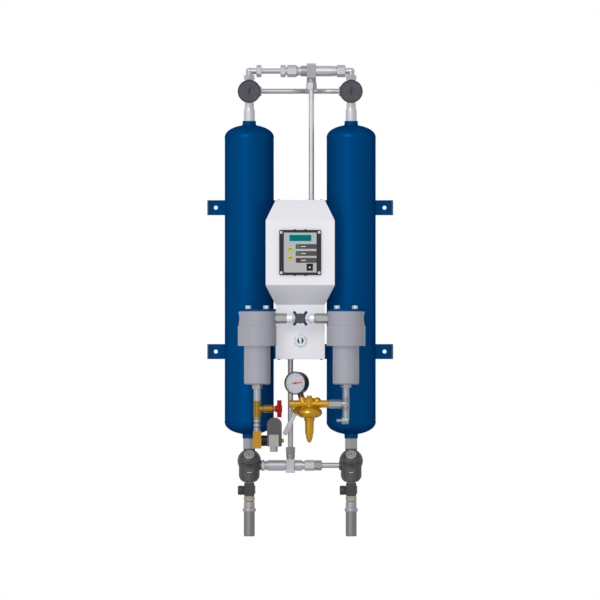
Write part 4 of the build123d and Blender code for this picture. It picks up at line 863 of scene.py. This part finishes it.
def element(name, build):
    """An object in metres that a repeat copies, removed once it has been used."""
    mesh = bmesh.new()
    build(mesh)
    bmesh.ops.recalc_face_normals(mesh, faces=mesh.faces)
    data = bpy.data.meshes.new(name)
    mesh.to_mesh(data)
    mesh.free()
    obj = bpy.data.objects.new(name, data)
    bpy.context.scene.collection.objects.link(obj)
    return obj


def joined(meshes):
    """One mesh from pairs of a mesh in metres and the matrix that puts it in its place."""
    whole = bmesh.new()
    for mesh, matrix in meshes:
        mesh.transform(matrix)
        whole.from_mesh(mesh)
    return whole


def unscaled(matrix):
    """A frame's place and turn alone, for meshes that are in metres already."""
    return matrix @ Matrix.Scale(1 / MM, 4)


# Welds on the vessels: overlapping scales laid round each seam
SEAM_SCALES = 150
NECK_SCALES = 56
NECK_WELD_IN = 1.3
NECK_WELD_OUT = 0.2


def weld_scale(width, height):
    """A flattened ball as wide as the bead, which stands out of the wall by its height."""
    def build(mesh):
        bmesh.ops.create_uvsphere(
            mesh, u_segments=10, v_segments=6, radius=1.0,
            matrix=SCALE @ Matrix.Diagonal((height, width * 0.55, width / 2, 1)),
        )
    return build


def vessel_welds():
    seam_scale = element("seam_scale", weld_scale(3.4, 0.55))
    neck_scale = element("neck_scale", weld_scale(3.0, 1.3))
    places = []
    for side in (-1, 1):
        for end in (-1, 1):
            for scale, count, radius, height in (
                (seam_scale, SEAM_SCALES, VESSEL_R, SEAM_Z),
                (neck_scale, NECK_SCALES, NECK_R + NECK_WELD_OUT, CROWN_Z - NECK_WELD_IN),
            ):
                ring = around.grow(
                    Count=count, Radius=radius * MM, Start=0.0, Sweep=2 * math.pi, Element=scale,
                    Finish=weld_blue,
                )
                places.append((ring, moved_to((side * VESSEL_X, VESSEL_Y, end * height))))
    piece("vessel_welds", joined(places), weld_blue)
    for used in (seam_scale, neck_scale):
        bpy.data.objects.remove(used)


vessel_welds()


# Controller: strips round the lamps, their marks, the display's rim, and the marks of keys and rocker
STRIP_HEIGHTS = ((82.8, 77.2, 71.6), (66.5, 60.9, 55.3), (50.6, 44.9, 39.2))
STRIP_LEFT, STRIP_RIGHT = -10.5, 38.2
LAMP_LEFT, LAMP_RIGHT = -8.7, -0.1
LAMP_HALF = 4.3
MARK_X = 7.5
DISPLAY_X, DISPLAY_Z = 0.45, 96.9
KEY_X, UP_KEY_Z, DOWN_KEY_Z = -23.5, 71.1, 51.1
KEY_FRONT = -173.3
ROCKER_CENTRE = Vector((22.2, -170.8, 28.9))
ROCKER_REACH = 3.0
ROCKER_TILT = math.radians(10)


def controller_details():
    strips = bmesh.new()
    marks = bmesh.new()
    for top, lamp, bottom in STRIP_HEIGHTS:
        for x0, x1, z0, z1 in (
            (STRIP_LEFT, LAMP_LEFT, bottom, top),
            (LAMP_RIGHT, STRIP_RIGHT, bottom, top),
            (LAMP_LEFT, LAMP_RIGHT, lamp + LAMP_HALF, top),
            (LAMP_LEFT, LAMP_RIGHT, bottom, lamp - LAMP_HALF),
        ):
            middle = to_front((x0 + x1) / 2, PANEL_FRONT, (z0 + z1) / 2)
            plate(strips, middle, box_outline(x1 - x0, z1 - z0), -0.05, 0.25)
        middle = to_front(MARK_X, PANEL_FRONT, (top + bottom) / 2)
        plate(marks, middle, box_outline(11.0, 1.5, 0.7), 0.2, 0.34)
    piece("lamp_strips", strips, strip_dark, smooth=False)
    piece("strip_marks", marks, white_mark, smooth=False)
    rim = bmesh.new()
    outer = box_outline(54.5, 18.0, 1.5)
    inner = box_outline(50.9, 14.5, 0.6)
    matrix = to_front(DISPLAY_X, PANEL_FRONT, DISPLAY_Z)
    loops = [
        [rim.verts.new(matrix @ Vector((x, y, z))) for x, y in outline]
        for outline, z in ((outer, -0.05), (outer, 0.3), (inner, 0.3), (inner, -0.05))
    ]
    for low, high in zip(loops, loops[1:] + loops[:1]):
        skin(rim, low, high)
    piece("display_rim", rim, display_rim, smooth=False)


controller_details()


def key_marks():
    peak = [(-4.7, -1.6), (4.7, -1.6), (4.6, -0.5), (1.2, 2.4), (-1.2, 2.4), (-4.6, -0.5)]
    turned = [(x, -y) for x, y in reversed(peak)]
    for name, key, height, outline in (
        ("up_arrow", "up_key", UP_KEY_Z, peak),
        ("down_arrow", "down_key", DOWN_KEY_Z, turned),
    ):
        arrow = bmesh.new()
        plate(arrow, to_front(KEY_X, KEY_FRONT, height), outline, -0.1, 0.12)
        piece(name, arrow, olive_mark, body=key, smooth=False)
    dot = bmesh.new()
    normal = Vector((0, -math.cos(ROCKER_TILT), -math.sin(ROCKER_TILT)))
    seat = frame_at(ROCKER_CENTRE + normal * ROCKER_REACH, normal, (0, 0, 1))
    lathe(dot, seat, ((-0.2, 1.9), (0.12, 1.9), (0.2, 1.7)), 32)
    piece("rocker_dot", dot, white_mark, body="rocker_switch")


key_marks()


# Gauges: ticks, numbers and rims
LOW_GAUGE = (-12.4, -173.5, -240.8)
LOW_GAUGE_TURN = math.radians(23)
LOW_GAUGE_LEAN = math.radians(18.4)
DIAL_START = math.radians(225)
DIAL_SWEEP = math.radians(270)
NUMBER_RADIUS = 17.0
NUMBER_SIZE = 4.2


def low_gauge_frame():
    """The front of the regulator's gauge, which is turned to the left and leans over."""
    normal = Vector((-math.sin(LOW_GAUGE_TURN), -math.cos(LOW_GAUGE_TURN), 0))
    right = Vector((math.cos(LOW_GAUGE_TURN), -math.sin(LOW_GAUGE_TURN), 0))
    up = Vector((0, 0, math.cos(LOW_GAUGE_LEAN))) - right * math.sin(LOW_GAUGE_LEAN)
    return frame_at(LOW_GAUGE, normal, up)


def dial_numbers(matrix, values):
    """Numbers set round a dial, upright, from lower left to lower right."""
    meshes = []
    for place, value in enumerate(values):
        angle = DIAL_START - DIAL_SWEEP * place / (len(values) - 1)
        text = bpy.data.curves.new("number", "FONT")
        text.body = str(value)
        text.size = NUMBER_SIZE * MM
        text.align_x = "CENTER"
        text.align_y = "CENTER"
        text.extrude = 0.04 * MM
        holder = bpy.data.objects.new("number", text)
        bpy.context.scene.collection.objects.link(holder)
        bpy.context.view_layer.update()
        depsgraph = bpy.context.evaluated_depsgraph_get()
        mesh = bpy.data.meshes.new_from_object(holder.evaluated_get(depsgraph))
        bpy.data.objects.remove(holder)
        spot = (NUMBER_RADIUS * math.cos(angle), NUMBER_RADIUS * math.sin(angle), 0.06 - DIAL_DEPTH)
        meshes.append((mesh, unscaled(matrix) @ moved_to(spot)))
    return meshes


def dial_print(matrix, ticks):
    """The ticks and numbers of one dial, as pairs of a mesh and its place."""
    base = unscaled(matrix) @ moved_to((0, 0, -DIAL_DEPTH))
    rings = []
    for tick, count, radius in ticks:
        ring = around.grow(
            Count=count + 1, Radius=radius * MM, Start=DIAL_START - DIAL_SWEEP,
            Sweep=DIAL_SWEEP * (count + 1) / count, Element=tick, Finish=low_print_grey,
        )
        rings.append((ring, base))
    return rings + dial_numbers(matrix, range(0, 12, 2))


def gauge_details():
    def tick(length, width):
        def build(mesh):
            plate(mesh, SCALE, box_outline(length, width), -0.05, 0.08)
        return build

    high = [to_front(side * VESSEL_X, GAUGE_FRONT, GAUGE_Z) for side in (-1, 1)]
    low = low_gauge_frame()
    long_tick = element("long_tick", tick(3.2, 0.7))
    short_tick = element("short_tick", tick(1.7, 0.35))
    ticks = ((long_tick, 10, 21.6), (short_tick, 50, 22.4))
    low_print = joined(dial_print(low, ticks))
    high_print = joined(dial_print(high[0], ticks) + dial_print(high[1], ticks))
    for used in (long_tick, short_tick):
        bpy.data.objects.remove(used)
    piece("low_dial_print", low_print, low_print_grey, smooth=False)
    piece("high_dial_print", high_print, high_print_grey, smooth=False)
    rims = bmesh.new()
    for matrix in (*high, low):
        hoop(rims, matrix, ((-0.6, 27.0), (0.4, 26.6), (0.7, 25.9), (0.4, 25.1), (-0.6, 24.85)), 96)
    piece("gauge_rims", rims, gauge_black)


gauge_details()


# Bypass handle: the full flanks where its arms leave the hub
def handle_flanks():
    flank = (
        (8.0, 2.0), (11.8, 2.2), (12.4, 5.0), (12.9, 7.8), (14.6, 9.6), (16.1, 11.4), (16.8, 13.4),
        (16.7, 15.4), (15.4, 16.8), (13.4, 17.1), (11.6, 16.7), (10.4, 15.2), (10.1, 12.6), (9.4, 10.4),
        (8.0, 8.2), (6.0, 6.5),
    )
    flanks = bmesh.new()
    hub = to_front(0, HANDLE_BACK, HANDLE_Z)
    for side in (-1, 1):
        for rise in (-1, 1):
            outline = [(side * x, rise * z) for x, z in flank][::side * rise]
            plate(flanks, hub, outline, -0.2, 6.05, 0.5)
    piece("handle_flanks", flanks, blue_grip, body="bypass_handle")


handle_flanks()


# Regulator: the pin's nose that fills the middle of the adjusting screw's slot
def screw_nose():
    nose = bmesh.new()
    neck = upright(REGULATOR_X, FILTER_Y, NECK_BOTTOM, -1)
    profile = ((14.5, 2.4), (16.4, 2.3), (17.8, 2.0), (18.6, 1.4), (19.0, 0.7), (19.1, 0))
    lathe(nose, neck, profile, 32)
    piece("screw_nose", nose, bright_brass, body="regulator_screw")


screw_nose()


# Bottom valves: silver disc with its groove and socket in painted shade and raised spokes, screws, dash,
# gasket and pilot nut
CAP_SCREW_X = 15.5
CAP_SCREW_RISES = (-3.0, -17.0)
SOCKET_R = 3.1
SPOKE_R = 5.4
ARM_FRONT, DASH_Z = -107.45, -448.95
PILOT_SEAT_Z = -473.4
PILOT_NUT_X, PILOT_NUT_Z = 12.0, -489.0


def valve_details():
    axis = Vector((0, -math.cos(BONNET_TILT), math.sin(BONNET_TILT)))
    up = Vector((0, math.sin(BONNET_TILT), math.cos(BONNET_TILT)))
    discs, sockets, screws, dashes, gaskets, nuts = (bmesh.new() for _ in range(6))
    for side in (-1, 1):
        x = side * VESSEL_X
        centre = Vector((x, VESSEL_Y, BONNET_Z))
        cap = frame_at(centre + axis * CAP_FRONT, axis, up)
        lathe(discs, cap, (
            (-0.6, 12.0), (0.7, 12.0), (1.3, 11.3), (1.3, 9.2), (0.7, 9.0), (0.7, 7.8), (1.3, 7.6),
            (1.3, 3.4), (0.4, 3.2), (0.4, 0),
        ), 72)
        # Grey ring in the disc's groove and grey hexagon in its central socket: painted shade. The four
        # spokes are raised marks in the same grey.
        hoop(sockets, cap, ((0.6, 8.95), (0.9, 8.95), (0.9, 7.85), (0.6, 7.85)), 72)
        corners = [math.radians(60 * i) for i in range(6)]
        plate(sockets, cap, [(SOCKET_R * math.cos(a), SOCKET_R * math.sin(a)) for a in corners], 0.3, 0.6)
        for i in range(4):
            turn = Matrix.Rotation(math.radians(45 + 90 * i), 4, "Z")
            spoke = cap @ turn @ Matrix.Translation((SPOKE_R, 0, 0))
            plate(sockets, spoke, box_outline(2.6, 1.1, 0.4), 1.0, 1.42)
        for across in (-CAP_SCREW_X, CAP_SCREW_X):
            for rise in CAP_SCREW_RISES:
                spot = Vector((across, 0, 0)) + up * rise
                depth = math.sqrt(BONNET_R ** 2 - spot.length ** 2)
                seat = frame_at(centre + spot + axis * (depth - 0.6), axis, up)
                lathe(screws, seat, (
                    (-1.0, 2.7), (0.6, 2.7), (1.0, 2.3), (1.0, 1.4), (0.1, 1.3), (0.1, 0),
                ), 24)
        plate(dashes, to_front(x, ARM_FRONT, DASH_Z), box_outline(10.5, 1.6, 0.6), -0.05, 0.3)
        seat = upright(x, PILOT_Y, PILOT_SEAT_Z)
        plate(gaskets, seat, box_outline(23.0, 25.4, 2.6), 0.02, 1.2)
        nut = frame_at((x + PILOT_NUT_X, PILOT_Y, PILOT_NUT_Z), (1, 0, 0), (0, 0, 1))
        lathe(nuts, nut, ((-0.5, 9.4), (1.7, 9.4), (2.4, 8.6), (2.4, 3.2), (1.3, 3.0), (1.3, 0)), 48)
    piece("bonnet_discs", discs, silver_disc)
    piece("disc_grooves", sockets, groove_shade_and_spoke_grey, smooth=False)
    piece("bonnet_screws", screws, socket_dark)
    piece("arm_dashes", dashes, pale_grey, smooth=False)
    piece("pilot_gaskets", gaskets, gasket_grey, smooth=False)
    piece("pilot_nuts", nuts, gasket_grey)


valve_details()


# Drain lines: threads on the left nipple, knurls on the right tee, mark on the coil's plug
THREAD_FEET = (-325.6, -335.6, -345.6)
THREAD_TURNS, THREAD_R, THREAD_PITCH, THREAD_RIDGE = 3.2, 7.35, 1.4, 0.5
KNURLS, KNURL_R, KNURL_RISE = 30, 8.8, 9.5
PLUG_DOT = (-61.2, -202.0, -371.4)


def drain_details():
    threads = []
    for foot in THREAD_FEET:
        turns = thread.grow(
            Turns=THREAD_TURNS, Radius=THREAD_R * MM, Pitch=THREAD_PITCH * MM, Ridge=THREAD_RIDGE * MM,
            Finish=thread_grey,
        )
        threads.append((turns, moved_to((DRAIN_X, FILTER_Y, foot))))
    piece("nipple_threads", joined(threads), thread_grey)
    outwards = SCALE @ Matrix.Rotation(math.radians(90), 4, "Y")
    rib = element("knurl_rib", lambda mesh: plate(mesh, outwards, box_outline(8.4, 0.75), -0.3, 0.28, 0.1))
    knurls = []
    for middle in (REGULATOR_Z + KNURL_RISE, REGULATOR_Z - KNURL_RISE):
        ring = around.grow(
            Count=KNURLS, Radius=KNURL_R * MM, Start=0.0, Sweep=2 * math.pi, Element=rib,
            Finish=thread_grey,
        )
        knurls.append((ring, moved_to((PIPE_X, FILTER_Y, middle))))
    piece("pipe_knurls", joined(knurls), thread_grey, smooth=False)
    bpy.data.objects.remove(rib)
    dot = bmesh.new()
    lathe(dot, to_front(*PLUG_DOT), ((-0.2, 2.1), (0.2, 2.1), (0.35, 1.8)), 32)
    piece("plug_dot", dot, dot_yellow_green)


drain_details()


# Screws: painted shade in the recesses of the bezel, cover and filter screws; clips of the controller; riser
# grommets
BEZEL_SCREW_X = 44.2
BEZEL_SCREW_HEIGHTS = (16.1, 110.1)
COVER_SCREW_X, COVER_SCREW_Y = 49.3, -111.0
COVER_SCREW_ENDS = ((187.6, 1), (-186.9, -1))
FILTER_BOLT_PLACES = (127.2, 85.8, -79.5, -120.9)
FILTER_BOLT_Z = -60.3
CLIP_X, CLIP_Y = 12.4, -169.6
CLIP_ENDS = ((115.85, 1), (10.35, -1))
GROMMETS = ((-22.6, -184.7, -1), (26.0, 185.4, 1))


def screw_details():
    recesses = bmesh.new()
    # The bezel screws' cross slots and the cover and filter screws' hex sockets are dark marks: painted shade
    # in the recesses.
    for x in (-BEZEL_SCREW_X, BEZEL_SCREW_X):
        for z in BEZEL_SCREW_HEIGHTS:
            for turn in (45, 135):
                spot = to_front(x, BEZEL_FRONT, z) @ Matrix.Rotation(math.radians(turn), 4, "Z")
                plate(recesses, spot, box_outline(3.6, 0.7, 0.2), -0.1, 0.05)
    for x in (-COVER_SCREW_X, COVER_SCREW_X):
        for z, facing in COVER_SCREW_ENDS:
            seat = upright(x, COVER_SCREW_Y, z, facing)
            lathe(recesses, seat, ((-0.4, 1.5), (0.03, 1.5), (0.05, 1.4)), 6)
    for x in FILTER_BOLT_PLACES:
        lathe(recesses, upright(x, FILTER_Y, FILTER_BOLT_Z), ((-0.4, 3.1), (0.03, 3.1), (0.05, 3.0)), 6)
    piece("screw_recesses", recesses, socket_dark, smooth=False)
    clips = bmesh.new()
    for z, facing in CLIP_ENDS:
        for x in (-CLIP_X, CLIP_X):
            plate(clips, upright(x, CLIP_Y, z, facing), box_outline(6.5, 4.0, 1.0), -0.5, 1.3, 0.4)
    piece("bezel_clips", clips, black_case, smooth=False)
    grommets = bmesh.new()
    for x, z, facing in GROMMETS:
        hoop(grommets, upright(x, VESSEL_Y, z, facing), (
            (-0.3, 6.6), (-0.3, 10.0), (0.6, 10.0), (1.2, 9.3), (1.2, 6.9), (0.9, 6.6),
        ), 64)
    piece("riser_grommets", grommets, pale_grey)


screw_details()


# Floor
FLOOR_RADIUS = 6.0
FLOOR_GAP = 0.001


def floor_finish():
    """A pale floor that looks white to the eye and in reflections, and keeps the object's shadow."""
    paint = new_paint("floor_pale")
    return paint.surface(
        Base_Color=paint.shade(linear(236, 236, 236), 0.01, paint.noise(3.0)), Roughness=0.8,
        Specular_IOR_Level=0.1, Emission_Strength=0.38,
        Emission_Color=paint.mix(paint.looked_at(), (0, 0, 0, 1), (1, 1, 1, 1)),
    )


floor_mesh = bmesh.new()
bmesh.ops.create_circle(
    floor_mesh, cap_ends=True, segments=96, radius=FLOOR_RADIUS,
    matrix=Matrix.Translation((0, 0, cad_box[0].z - FLOOR_GAP)),
)
floor_data = bpy.data.meshes.new("floor")
floor_mesh.to_mesh(floor_data)
floor_mesh.free()
floor = bpy.data.objects.new("floor", floor_data)
bpy.context.scene.collection.objects.link(floor)
floor_data.materials.append(floor_finish())
